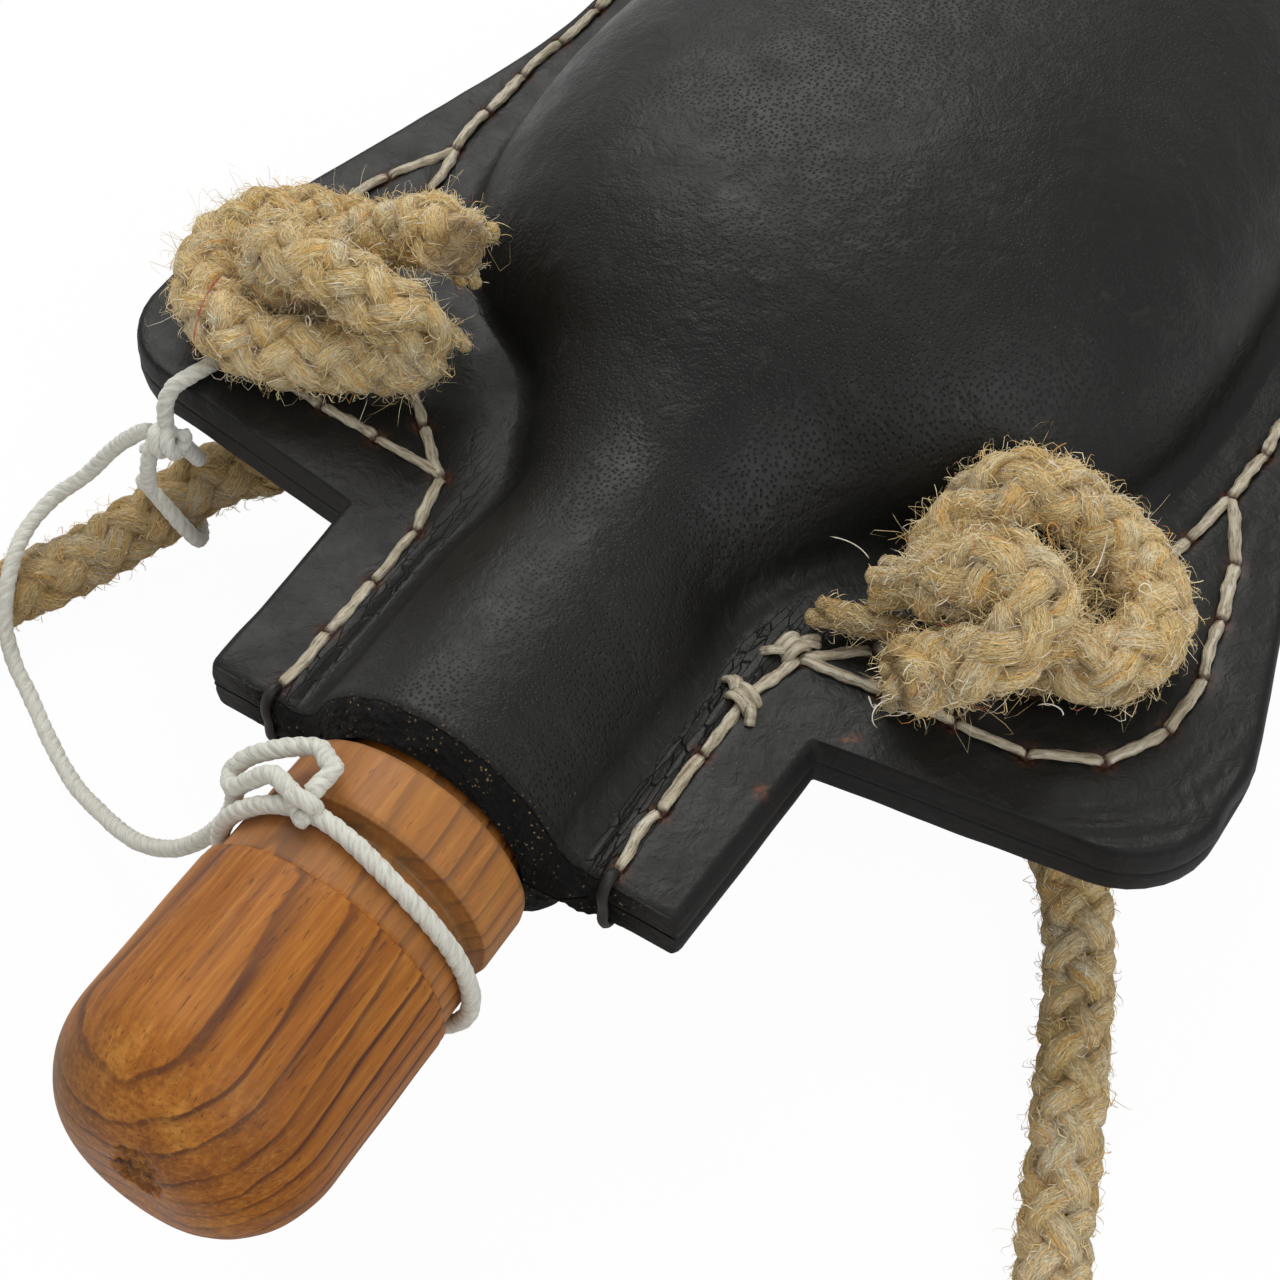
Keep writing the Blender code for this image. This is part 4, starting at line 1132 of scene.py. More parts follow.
# %% Wood lines
def growth_lines(look):
    """Dark lines where slanting sheets of late wood come to the surface.

    The sheets lie at equal steps of a slanted distance that noise bends. The saw tooth of that
    distance goes through a ramp, which keeps a thin dark line with one soft side.
    """
    warp = look.noise(90, 3.0, 0.5, vector=look.mapped("Object", (1.0, 0.10, 1.0)))
    slant = look.sum("MULTIPLY_ADD", look.axis("X"), -0.31, look.times(look.axis("Z"), 0.95))
    slant = look.sum("MULTIPLY_ADD", look.axis("Y"), -0.05, slant)
    ripple = look.grain("Object", (420, 60, 420), 3.0, 0.6)
    ring = look.sum("MULTIPLY_ADD", ripple, 0.0008, look.sum("MULTIPLY_ADD", warp, 0.0048, slant))
    line = look.ramp(look.sum("FRACT", look.times(ring, 345.0)), (0.0, 0.0), (0.60, 0.04),
                     (0.80, 0.42), (0.88, 1.0), (0.96, 1.0), (1.0, 0.0))
    patchy = look.ramp(look.grain("Object", (130, 26, 130), 3.0, 0.6), (0.35, 0.35), (0.62, 1.0))
    return look.times(line, 0.92, patchy)


def handled(look, colour):
    """Darker groove and pit, a painted shadow on the collar's back, a paler collar, an olive side
    and a mottled end.
    """
    uneven = look.ramp(look.noise(420, 4.0), (0.3, 0.35), (0.7, 1.0))
    # the groove and the pit are painted darker, and a painted shadow lies on the collar's back
    colour = look.mix(look.times(look.paint("dark_hollows_and_painted_shadow"), uneven), colour, (0.048, 0.036, 0.014))
    colour = look.mix(look.times(look.paint("pale"), 0.25), colour, (0.50, 0.27, 0.12))
    cloudy = look.ramp(look.noise(110, 4.0, 0.6), (0.35, 0.2), (0.6, 0.8))
    colour = look.mix(look.times(look.paint("olive"), cloudy), colour, (0.115, 0.065, 0.016))
    mottle, end = look.grain("Object", (900, 1500, 2400), 3.0, 0.7), look.paint("end")
    colour = look.mix(look.times(end, look.ramp(mottle, (0.38, 0.50), (0.52, 0.0))), colour,
                      (0.150, 0.048, 0.012))
    return look.mix(look.times(end, look.ramp(mottle, (0.54, 0.0), (0.68, 0.30))), colour,
                    (0.56, 0.28, 0.08))


# %% Wood finish
def wood_look():
    """Reddish wood: tones and streaks along the grain, growth lines, pores and signs of use."""
    look = Look("turned_wood")
    tone = look.grain("Object", (260, 22, 260), 5.0, 0.6)
    colour = look.ramp(tone, (0.25, (0.215, 0.060, 0.007)), (0.55, (0.405, 0.138, 0.016)),
                       (0.8, (0.56, 0.245, 0.040)))
    streak = look.grain("Object", (1500, 75, 1500), 4.0, 0.7)
    colour = look.mix(look.ramp(streak, (0.34, 0.42), (0.50, 0.0)), colour, (0.15, 0.045, 0.008))
    colour = look.mix(look.ramp(streak, (0.52, 0.0), (0.70, 0.35)), colour, (0.68, 0.33, 0.070))
    colour = look.mix(growth_lines(look), colour, (0.058, 0.016, 0.009))
    dash = look.ramp(look.grain("Object", (3300, 420, 3300), 2.0, 0.5), (0.63, 0.0), (0.70, 1.0))
    colour = look.mix(look.times(dash, 0.6), colour, (0.060, 0.020, 0.008))
    normal = look.bump(tone, 0.25, 0.0003)
    normal = look.bump(streak, 0.25, 0.00015, normal)
    normal = look.bump(dash, -0.4, 0.0002, normal)
    rough = look.ramp(tone, (0.3, 0.42), (0.7, 0.56))
    return look.finish(handled(look, colour), rough, normal, Specular_IOR_Level=0.26)


wood = wood_look()

# %% Stopper profile
KNOB_RADIUS = 0.0159
KNOB_ROUND = 0.0122
STOPPER_REACH = 0.0520
GROOVE_END = 0.0148
KNOB_START = 0.0207
SHOULDER = 0.0150
COLLAR = 0.0148
PLUG = NECK_BORE / 2 - 0.0018


def stopper_profile():
    """Radius and reach from the end of the knob to the end of the plug, in even steps.

    The knob's end is flat, then a quarter ellipse. The rest is turned in straight lines.
    """
    turn = np.linspace(0, np.pi / 2, 40)
    nose = KNOB_RADIUS - 0.9 * KNOB_ROUND
    knob = np.stack([nose + 0.9 * KNOB_ROUND * np.sin(turn),
                     STOPPER_REACH - KNOB_ROUND * (1 - np.cos(turn))], -1)
    flat = np.stack([np.linspace(0, nose, 60), np.full(60, STOPPER_REACH)], -1)
    rest = np.array([(KNOB_RADIUS, KNOB_START + 0.0010),
                     (KNOB_RADIUS - 0.0001, KNOB_START + 0.0005),
                     (SHOULDER + 0.0008, KNOB_START + 0.0001),
                     (SHOULDER + 0.0001, KNOB_START - 0.0001),
                     (SHOULDER, KNOB_START - 0.0008), (SHOULDER, GROOVE_END + 0.0010),
                     (SHOULDER - 0.0003, GROOVE_END + 0.0003), (0.0130, GROOVE_END - 0.0009),
                     (0.0127, 0.0134), (0.0126, 0.0130), (0.0129, 0.0127), (0.0140, 0.0121),
                     (COLLAR - 0.0002, 0.0119), (COLLAR, 0.0113), (COLLAR, 0.0050),
                     (COLLAR - 0.0002, 0.0044), (COLLAR - 0.0008, 0.0042), (PLUG + 0.0010, 0.0041),
                     (PLUG + 0.0003, 0.0036), (PLUG, 0.0), (PLUG - 0.0006, -0.0208),
                     (PLUG - 0.0010, -0.0216), (PLUG - 0.0018, -0.0220), (0.0, -0.0220)])
    rough = np.vstack([flat, knob[1:], rest])
    run = run_along(rough)
    even = np.unique(np.concatenate([np.linspace(0, run[-1], 300), run]))
    return np.stack([np.interp(even, run, rough[:, i]) for i in range(2)], -1)


profile = stopper_profile()
AROUND = 180
theta = ring_angles(AROUND)
radius, reach = profile[:, :1], profile[:, 1:]
stopper = np.stack([radius * np.cos(theta), -reach + 0 * theta, radius * np.sin(theta)], -1)
print("stopper", round(float(np.ptp(reach)), 4), "m long,", round(2 * KNOB_RADIUS, 4), "m thick")

# %% [markdown]
# ## Pit, dents, dark hollows and a painted shadow
# The knob's end was snapped off the lathe, which left a ragged pit. A pit is a distance from one
# point whose edge noise makes ragged, cut off by a smooth step. A few dents tell that the stopper
# was used. The groove and the pit are painted darker, and a painted shadow lies on the collar's
# back, where it meets the leather.

# %% Pit and dents
pit_x, pit_z = stopper[..., 0] - 0.0015, stopper[..., 2] - 0.0042
pit_turn = np.arctan2(pit_z, pit_x)
ragged = np.hypot(pit_x, pit_z) * (1 + 0.16 * np.cos(2 * pit_turn + 0.6)
                                   + 0.10 * np.sin(3 * pit_turn))
ragged = ragged + 0.0005 * waves(stopper, 0.0021, 75) + 0.0003 * waves(stopper, 0.0009, 76)
hollow = eased(np.clip((0.0037 - ragged) / 0.0009, 0, 1) * (reach > 0.045))
stopper[..., 1] += hollow * (0.0005 + 0.0006 * waves(stopper, 0.0013, 71)
                             + 0.0004 * waves(stopper, 0.0006, 73))
DENTS = (((0.0060, -0.0318, 0.0150), 0.0005, 0.0003), ((-0.0030, -0.0280, 0.0158), 0.0004, 0.0002),
         ((0.0105, -0.0400, 0.0118), 0.0006, 0.0002), ((-0.0080, -0.0440, 0.0125), 0.0005, 0.0002))
scratch = 0.00006 * waves(stopper * (1, 0.3, 1), 0.004, 72)
for spot, wide, deep in DENTS:
    away = np.sum((stopper - spot) ** 2 * (1, 0.15, 1), -1)
    scratch = scratch - deep * np.exp(-away / wide ** 2)
scratch = scratch * np.clip(radius / 0.001, 0, 1)
stopper[..., 0] += scratch * np.cos(theta)
stopper[..., 2] += scratch * np.sin(theta)
print("pit", round(1000 * float(hollow.max() * 0.0005), 2), "mm deep or more")

# %% Stopper
# the groove is painted darker; a painted shadow lies on the collar's back, where it meets the
# leather
groove_darkening = 0.85 * np.exp(-((reach - 0.0131) / 0.0013) ** 2)
collar_painted_shadow = 0.9 * np.exp(-((reach - 0.0040) / 0.0007) ** 2)
whole = np.ones_like(theta)
stopper_paint = {
    "dark_hollows_and_painted_shadow": np.clip(groove_darkening + collar_painted_shadow + 0.45 * hollow, 0, 1),
    "pale": (np.clip((0.0204 - reach) / 0.0004, 0, 1) * whole
             * np.clip((reach - 0.0020) / 0.001, 0, 1)),
    "olive": (np.clip((-stopper[..., 0] - 0.002) / 0.010, 0, 1)
              * np.clip((reach - 0.040) / 0.010, 0, 1)),
    "end": np.clip((reach - 0.0385) / 0.012, 0, 1) * whole}
stopper_grid = (stopper, True, np.arange(len(profile)), np.arange(AROUND + 1))
stopper_piece = make_mesh("stopper_wood", [stopper_grid], wood, painted=stopper_paint)
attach(stopper_piece, "stopper")
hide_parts("stopper")


# %% [markdown]
# ## Plaited hemp
# The strap is plaited from eight soft strands: four wind one way, four the other, and each goes
# over and under in turn. That gives the staggered lumps that the eye sees. A strand is a flat
# tube carried along its own wave round the rope's middle, so all eight are made in the same way.

# %% Strand tools
def strand_rings(centre, outward, wide, thick, sides, yarns=5, ridge=0.05, spin=0.0):
    """Rings of a flattened strand, closed at both ends.

    A ring is an ellipse, wide across the rope and thick away from its middle. Its radius is
    changed by a cosine with one wave per yarn, and the ends shrink to a point.
    """
    tangent = unit(np.gradient(centre, axis=0))
    across = unit(np.cross(tangent, outward))
    lift = np.cross(across, tangent)
    angle = ring_angles(sides)
    swell = 1 + ridge * np.cos(yarns * (angle + np.reshape(spin, (-1, 1))))
    a = (np.reshape(wide, (-1, 1)) * swell * np.cos(angle))[..., None]
    b = (np.reshape(thick, (-1, 1)) * swell * np.sin(angle))[..., None]
    rings = centre[:, None] + a * across[:, None] + b * lift[:, None]
    first, last = (np.broadcast_to(end, (1, sides, 3)) for end in (centre[0], centre[-1]))
    return np.concatenate([first, rings, last])


def stretch_ends(values):
    """The values along a strand, with the first and last repeated for its closed ends."""
    return np.concatenate([values[:1], values, values[-1:]])


def round_ends(run, reach):
    """1 along a strand, falling to nearly 0 at its two ends as a quarter circle does."""
    near = np.clip(np.minimum(run, run[-1] - run) / reach, 0.0, 1.0)
    return np.sqrt(np.clip(1 - (1 - near) ** 2, 0.02, 1.0))


# %% [markdown]
# ## The plait itself
# One function makes all eight strands and the core. It also returns each strand's line, which
# the fibres start from, and how deep each point lies, which the finish turns into painted shade.

# %% Plait
def plait(path, diameter, lay, sides, seed, swell, floor, rough=0.13):
    """Grids, groove shade and strand lines of a rope plaited round a core.

    A strand's turn is plus or minus one per lay. Its distance from the middle is a cosine with
    four periods a lay, of opposite sign for the two families, so that crossings alternate.
    """
    _, side, up = carried_frame(path)
    run = run_along(path)
    size = diameter * swell * np.ones(len(run))
    along = np.stack([run, 0 * run, 0 * run], -1)
    grids, shade, lines = [], [], []
    for k in range(8):
        way = 1.0 if k < 4 else -1.0
        turn = way * 2 * np.pi * run / lay + (k % 4) * np.pi / 2
        turn = turn + 0.30 * waves(along, 0.013, seed + 3 * k)
        over = way * np.cos(8 * np.pi * run / lay)
        plump = (1 + rough * waves(along, 0.0075, seed + 40 + k)) * round_ends(run, 0.0016)
        outward = np.cos(turn)[:, None] * side + np.sin(turn)[:, None] * up
        rise = 0.285 + 0.072 * over + 0.022 * waves(along + 1.0, 0.009, seed + 60 + k)
        centre = path + (size * rise)[:, None] * outward
        wide, thick = 0.205 * size * plump, 0.150 * size * plump
        rings = strand_rings(centre, outward, wide, thick, sides, spin=way * run / 0.004)
        depth = np.linalg.norm(rings[1:-1] - path[:, None], axis=-1) / size[:, None]
        lumps = (0.00016 * waves(rings, 0.0022, seed + 80 + k)
                 + 0.00010 * waves(rings, 0.0011, seed + 90 + k))
        rings[1:-1] += lumps[1:-1, :, None] * unit(rings[1:-1] - centre[:, None])
        rings[..., 2] = np.maximum(rings[..., 2], floor)
        # painted shade: the deeper a point lies between the strands, the more groove shade it gets
        groove = np.clip((0.475 - depth) / 0.14, 0, 1)
        shade.append(stretch_ends(groove).ravel())
        grids.append((rings, True, stretch_ends(run) + 3.7 * k, np.arange(sides + 1) / sides))
        lines.append((centre, outward, wide, thick, over))
    core = strand_rings(path, side, 0.25 * size, 0.25 * size, 8)
    grids.append((core, True, stretch_ends(run), np.arange(9) / 8))
    # painted shade: the hidden core is fully shaded
    shade.append(np.ones(core.size // 3))
    return grids, shade, lines


strands = plait(metre, ROPE, 0.026, 11, 0, 1.0, -1.0)[2]
print("a metre of rope takes", len(strands), "strands of",
      np.round(run_along(strands[0][0])[-1], 2), "m")


# %% [markdown]
# ## Fibres
# Hemp is hairy. Thousands of fibres are one mesh, because an object for each would be slow. A
# fibre is a thin tube with three sides and five steps. Most lie along the strand that they come
# from, and a few stand off it.

# %% Fibre tools
FIBRE_STEPS = 5


def hairs(roots, heading, length, thick, curl, seed, bend=(0.0, 0.0, 0.0)):
    """Grids of fine fibres: curved three-sided tubes that taper at both ends.

    Each fibre starts at its root, heads off and bends along two random cosine curves. bend is
    how far its tip is drawn aside, which grows as the square of the way along it.
    """
    rng = np.random.default_rng(seed)
    count = len(roots)
    s = np.linspace(0, 1, FIBRE_STEPS)[None, :, None]
    heading = unit(heading)
    side = unit(np.cross(heading, rng.normal(size=(count, 3))))
    up = np.cross(heading, side)
    length = length[:, None, None]
    c1, c2 = (rng.uniform(-1, 1, (count, 1, 1)) * curl for _ in range(2))
    f1, f2 = (rng.uniform(0.5, 2.0, (count, 1, 1)) for _ in range(2))
    line = (roots[:, None] + heading[:, None] * length * s * (1 - 0.25 * np.abs(c1) * s)
            + side[:, None] * length * c1 * (1 - np.cos(np.pi * f1 * s)) * 0.5
            + up[:, None] * length * c2 * (1 - np.cos(np.pi * f2 * s)) * 0.5
            + np.reshape(bend, (-1, 1, 3)) * s ** 2)
    tangent = unit(np.gradient(line, axis=1))
    a = unit(np.cross(tangent, side[:, None] + 0.3 * up[:, None]))
    b = np.cross(tangent, a)
    taper = np.clip(5.0 * s, 0.01, 1) * np.clip(2.5 * (1 - s), 0.01, 1)
    radius = thick[:, None, None] / 2 * taper
    angle = ring_angles(3)
    return line[:, :, None] + radius[:, :, None] * (np.cos(angle)[:, None] * a[:, :, None]
                                                    + np.sin(angle)[:, None] * b[:, :, None])


# %% Fibre meshes
def hair_mesh(name, batches, look, body):
    """One object from batches of (fibres, tint): fibres are count x steps x 3 sides.

    No fibre goes below the floor.
    """
    points, quads, tints, start = [], [], [], 0
    for ring, tint in batches:
        count, steps = ring.shape[:2]
        i = np.arange(count)[:, None, None]
        j = np.arange(steps - 1)[None, :, None]
        near, on = np.arange(3), (np.arange(3) + 1) % 3
        ring_start = start + (i * steps + j) * 3
        corners = (ring_start + near, ring_start + on, ring_start + 3 + on, ring_start + 3 + near)
        quads.append(np.stack(corners, -1).reshape(-1, 4))
        ring[..., 2] = np.maximum(ring[..., 2], FLOOR + 0.0001)
        points.append(ring.reshape(-1, 3))
        tints.append(np.repeat(tint, steps * 3))
        start += count * steps * 3
    item = mesh_object(name, np.vstack(points) + PLACE, np.vstack(quads), look,
                       {"tint": np.concatenate(tints)})
    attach(item, body)
    return item


# %% Fluff
def fluff(lines, count, seed, reach=(0.0010, 0.0038), loose=0.10, start=0.0, end=1.0,
          thick=(0.00007, 0.00016)):
    """Fibres that lie along the strands they come from, and a few that stand off in loose curls.

    A lying fibre bends inwards by its length squared over 8 mm, so that it hugs the strand, and a
    loose one by its length squared over 12 mm. loose is the share that stands off. Roots where
    the strand dives under another are mostly left out.
    """
    rng = np.random.default_rng(seed)
    which = rng.integers(0, len(lines), count)
    centre, outward, wide, deep, over = (np.stack(part) for part in zip(*lines))
    at = (rng.uniform(start, end, count) * (centre.shape[1] - 2)).astype(int)
    keep = over[which, at] > rng.uniform(-1.1, 0.2, count)
    which, at = which[keep], at[keep]
    count = len(at)
    tangent = unit(centre[which, at + 1] - centre[which, at])
    up = unit(outward[which, at])
    across = unit(np.cross(tangent, up))
    spin = rng.normal(0, 0.75, count)
    place = np.sin(spin)[:, None] * across * wide[which, at][:, None]
    place = place + np.cos(spin)[:, None] * up * deep[which, at][:, None]
    normal = unit(place)
    roots = centre[which, at] + place * rng.uniform(0.9, 1.03, (count, 1))
    free = rng.uniform(0, 1, count) < loose
    stray = rng.normal(0, np.where(rng.uniform(0, 1, count) < 0.45, 1.6, 0.45))
    along = tangent * rng.choice([-1, 1], (count, 1)) + across * stray[:, None]
    rise = np.where(free, rng.uniform(0.2, 0.8, count), rng.uniform(0.0, 0.14, count))
    length = rng.uniform(*reach, count) * np.where(free, 1.1, 1.0)
    curl = np.where(free, 1.5, 0.62)[:, None, None]
    width = rng.uniform(*thick, count) * np.where(free, 0.45, 0.85)
    bend = -normal * (length ** 2 / np.where(free, 0.012, 0.008))[:, None]
    heading = unit(along) + normal * rise[:, None]
    return (hairs(roots, heading, length, width, curl, seed + 1, bend),
            rng.uniform(0, 1, count))


# %% [markdown]
# ## Cord finishes
# Hemp is straw and ochre with a few orange and red fibres, with painted shade down between the
# strands; cotton is off-white. Streaks run along the strand through the UV map, laid out along the
# cord.

# %% Cord finishes
STRAW, OCHRE, BROWN = (0.95, 0.72, 0.340), (0.95, 0.53, 0.120), (0.52, 0.300, 0.085)


def hemp_look():
    """Straw with browner, paler and ochre streaks along the strand, and painted shade in the
    grooves.
    """
    look = Look("hemp")
    along = look.grain("UV", (330, 24, 1), 4.0, 0.75)
    fine = look.grain("UV", (520, 60, 1), 3.0, 0.7)
    colour = look.ramp(look.noise(170, 3.0, 0.6), (0.30, (0.82, 0.57, 0.190)), (0.50, STRAW),
                       (0.70, (0.98, 0.87, 0.60)))
    colour = look.mix(look.ramp(along, (0.36, 0.55), (0.48, 0.0)), colour, BROWN)
    colour = look.mix(look.ramp(fine, (0.36, 0.42), (0.48, 0.0)), colour, (0.42, 0.240, 0.075))
    colour = look.mix(look.ramp(fine, (0.52, 0.0), (0.62, 0.60)), colour, (0.97, 0.90, 0.70))
    ochre = look.grain("UV", (150, 15, 1), 4.0, 0.65)
    colour = look.mix(look.ramp(ochre, (0.50, 0.0), (0.64, 0.80)), colour, OCHRE)
    # painted shade: points painted as deep in a groove turn dark brown
    colour = look.mix(look.times(look.paint("groove"), 0.66), colour, (0.27, 0.135, 0.033))
    normal = look.bump(along, 1.0, 0.0008)
    normal = look.bump(fine, 0.9, 0.0004, normal)
    normal = look.bump(look.noise(1100, 4.0, 0.7), 0.5, 0.0005, normal)
    return look.finish(colour, 0.9, normal, Sheen_Weight=0.2, Sheen_Roughness=0.5)


def fibre_look(name, *stops):
    """Single fibres: each takes one colour of the stops by its tint, under a cloud of straw."""
    look = Look(name)
    cloud = look.ramp(look.noise(500), (0.45, 0.0), (0.7, 0.35))
    colour = look.mix(cloud, look.ramp(look.paint("tint"), *stops), STRAW)
    return look.finish(colour, 0.75, Sheen_Weight=0.15)


def cotton_look():
    """Off-white with faint streaks along the strand."""
    look = Look("cotton")
    along = look.grain("UV", (900, 10, 1), 3.0, 0.6)
    colour = look.ramp(along, (0.25, (0.44, 0.43, 0.35)), (0.5, (0.68, 0.67, 0.59)),
                       (0.8, (0.80, 0.80, 0.74)))
    return look.finish(colour, 0.8, look.bump(along, 0.5, 0.0003), Sheen_Weight=0.3)


hemp = hemp_look()
hemp_fibre = fibre_look("hemp_fibres", (0.008, (0.40, 0.035, 0.03)), (0.010, (0.66, 0.27, 0.03)),
                        (0.035, (0.66, 0.27, 0.03)), (0.040, (0.76, 0.53, 0.20)),
                        (0.40, (0.94, 0.73, 0.36)), (0.75, (0.97, 0.84, 0.52)),
                        (1.0, (0.97, 0.93, 0.82)))
cotton = cotton_look()


# %% [markdown]
# ## Cord routes
# Every cord is led through a few listed points that were read from the photograph, or guessed
# where it is hidden. They are in millimetres from the mouth's centre.

# %% Cord routes
FLOOR = -REST_DEPTH
STRAP_LEFT_ROUTE = MM * np.array([
    (-48.8, 48.3, -13.5), (-55.6, 44.0, -19.2), (-64.1, 37.0, -22.0), (-68.5, 28.2, -24.4),
    (-72.9, 18.2, -26.4), (-77.2, 11.4, -27.2), (-81.8, 1.5, -27.2), (-86.2, -15.0, -27.2),
    (-85.0, -47.0, -27.2), (-69.0, -79.0, -27.2), (-41.0, -101.0, -27.2),
    (-8.0, -112.0, -27.2), (23.0, -116.0, -27.2)])
STRAP_RIGHT_ROUTE = MM * np.array([
    (48.8, 48.6, -13.5), (54.1, 47.4, -20.2), (59.8, 43.4, -25.0), (64.6, 35.5, -27.0),
    (69.7, 23.6, -27.2), (75.1, 10.4, -27.2), (79.5, -1.2, -27.2), (86.5, -14.0, -27.0),
    (94.2, -23.5, -25.8), (102.0, -31.0, -22.8), (109.0, -39.0, -19.8)])
KNOT_RIGHT_ROUTE = MM * np.array([
    (49.5, 47.8, 10.0), (53.4, 47.1, 10.5), (56.6, 50.1, 10.5), (57.7, 55.2, 10.5),
    (55.8, 60.2, 10.5), (51.6, 63.4, 10.5), (47.5, 64.0, 12.2), (43.7, 63.4, 15.0),
    (40.0, 61.9, 17.2), (36.6, 59.5, 17.4), (34.4, 56.7, 15.2), (33.6, 53.3, 12.4),
    (34.5, 49.1, 12.0), (36.7, 45.8, 14.6), (39.2, 45.3, 18.2), (41.6, 46.8, 20.4),
    (44.5, 47.3, 20.9), (47.3, 45.3, 20.6), (47.9, 41.8, 19.4), (46.3, 39.1, 17.0),
    (43.0, 38.6, 13.4), (39.4, 37.7, 10.8), (37.0, 34.6, 10.6)])
KNOT_LEFT_ROUTE = MM * np.array([
    (-48.1, 49.1, 10.0), (-50.8, 47.7, 11.3), (-53.2, 46.6, 12.4), (-54.6, 44.8, 15.4),
    (-53.6, 44.6, 18.8), (-49.7, 44.3, 20.2), (-45.7, 44.3, 20.4), (-40.9, 43.7, 20.2),
    (-36.2, 43.9, 19.0), (-32.9, 44.9, 15.7), (-33.9, 44.5, 11.9), (-37.9, 42.8, 10.5),
    (-42.2, 40.4, 10.5), (-47.9, 37.9, 10.5), (-54.8, 36.7, 10.5), (-61.6, 39.7, 10.5),
    (-65.5, 45.3, 10.5), (-65.2, 51.7, 10.5), (-61.7, 56.1, 10.5), (-57.2, 58.3, 10.5),
    (-52.2, 58.7, 10.8), (-47.6, 58.6, 12.6), (-43.7, 58.7, 15.8), (-38.8, 57.0, 19.4),
    (-33.7, 54.9, 21.4)])
TETHER_ROUTE = MM * np.array([
    (-68.8, 27.4, -8.4), (-71.8, 26.6, -12.2), (-74.7, 24.6, -16.2), (-77.5, 21.5, -18.8),
    (-78.2, 17.5, -20.0), (-76.8, 12.5, -20.1), (-75.2, 8.2, -22.1), (-73.4, 4.7, -25.9),
    (-70.6, 2.4, -28.9), (-66.5, 0.2, -30.0), (-60.2, -3.5, -30.0), (-52.1, -7.6, -29.0),
    (-45.0, -10.2, -26.0), (-38.0, -12.6, -21.8), (-32.6, -14.0, -17.5), (-27.0, -14.4, -12.5),
    (-22.5, -13.9, -7.0), (-19.2, -13.1, -1.5), (-17.4, -12.7, 3.5), (-17.0, -12.6, 7.7)])
HITCH_KNOT = (-0.0608, 0.0280, -0.0020)
TETHER = 0.0021
TETHER_KNOT = 0.0024
CORD_STEP = 0.0004
print("route points", [len(route) for route in (STRAP_LEFT_ROUTE, STRAP_RIGHT_ROUTE,
                                                KNOT_RIGHT_ROUTE, KNOT_LEFT_ROUTE, TETHER_ROUTE)])


# %% Coil
COIL_MIDDLE = (0.071, -0.079)
COIL_RADIUS = 0.0425


def coil_loops():
    """Strap's spare length in two layers: spiral in, climb in the half turn, spiral out."""
    pitch = ROPE + 0.0006
    start, finish = math.radians(-110.0), math.radians(15.0 + 360.0 * 3)
    middle = (start + finish) / 2
    turn = np.linspace(start, finish, 120)
    inmost = COIL_RADIUS - pitch * (finish - start) / (8 * np.pi)
    radius = inmost + pitch * np.sqrt((turn - middle) ** 2 + 0.15) / (2 * np.pi)
    climb = np.clip((turn - middle) / np.pi + 0.5, 0.0, 1.0)
    high = FLOOR + ROPE / 2 + pitch * eased(climb)
    return np.stack([COIL_MIDDLE[0] + radius * np.cos(turn),
                     COIL_MIDDLE[1] + radius * np.sin(turn), high], -1)


print("coil", round(float(run_along(coil_loops())[-1]), 3), "m of rope")


# %% [markdown]
# ## Rope strap
# One rope leaves the left ear underneath, runs out of the picture, lies coiled beside the bottle
# and comes back to the right ear. Its rings lie closer together on the two stretches than in the
# coil, to keep the mesh small.

# %% Strap path
PLAIT_LAY = 0.026
SOFT = 1.13
SHOWN_LEFT, SHOWN_RIGHT = 0.14, 0.10


def hole_stem(side, top):
    """Three points that lead the rope up out of an ear's hole, or down out of it."""
    x, y = side * ROPE_HOLE_X, ROPE_HOLE_Y
    if top:
        heights = (SURFACE + CLEAR, SURFACE + 0.25 * ROPE, SURFACE + 0.5 * ROPE)
    else:
        heights = (SURFACE - CLEAR, -SURFACE, -SURFACE - 0.4 * ROPE)
    return [(x, y, height) for height in heights]


strap_points = np.vstack([hole_stem(-1, False), STRAP_LEFT_ROUTE, coil_loops(),
                          STRAP_RIGHT_ROUTE[::-1], hole_stem(1, False)[::-1]])
fine_path = smooth_route(strap_points, CORD_STEP)
fine_run = run_along(fine_path)
STRAP_LENGTH = fine_run[-1]
shown = (fine_run < SHOWN_LEFT) | (fine_run > STRAP_LENGTH - SHOWN_RIGHT)
step = np.cumsum(np.where(shown, 0.5, 0.25))
strap_path = fine_path[np.flatnonzero(np.diff(np.floor(step), prepend=-1) > 0)]
strap_path = np.vstack([strap_path[:-1], fine_path[-1:]])
strap_run = run_along(strap_path)
print("strap length", round(STRAP_LENGTH, 4), "rings", len(strap_path))

# %% Strap
near_ends = np.minimum(strap_run, strap_run[-1] - strap_run)
strap_swell = SOFT - (SOFT - 1.02) * np.clip((near_ends - 0.11) / 0.03, 0, 1)
strap_grids, strap_shade, strap_lines = plait(strap_path, ROPE, PLAIT_LAY, 11, 21, strap_swell,
                                              FLOOR + 0.0001)
strap_painted_shade = np.concatenate(strap_shade)
# painted shade: the whole strap gets more groove shade, the left half much more than the right
left_half = np.concatenate([grid[..., 0].ravel() for grid, _, _, _ in strap_grids]) < 0.0
strap_painted_shade = strap_painted_shade + np.where(left_half, 0.55, 0.12) * (1 - strap_painted_shade)
strap = make_mesh("strap_rope", strap_grids, hemp, painted={"groove": strap_painted_shade})
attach(strap, "bottle")
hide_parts("strap_coil", "strap_rope_left", "strap_rope_right")


# %% [markdown]
# ## Knots on the ears
# Each end of the strap comes up through its ear and is tied so that it can't slip back. The cut
# ends fray: short yarns splay out there, so they are added as blunt tubes of their own.

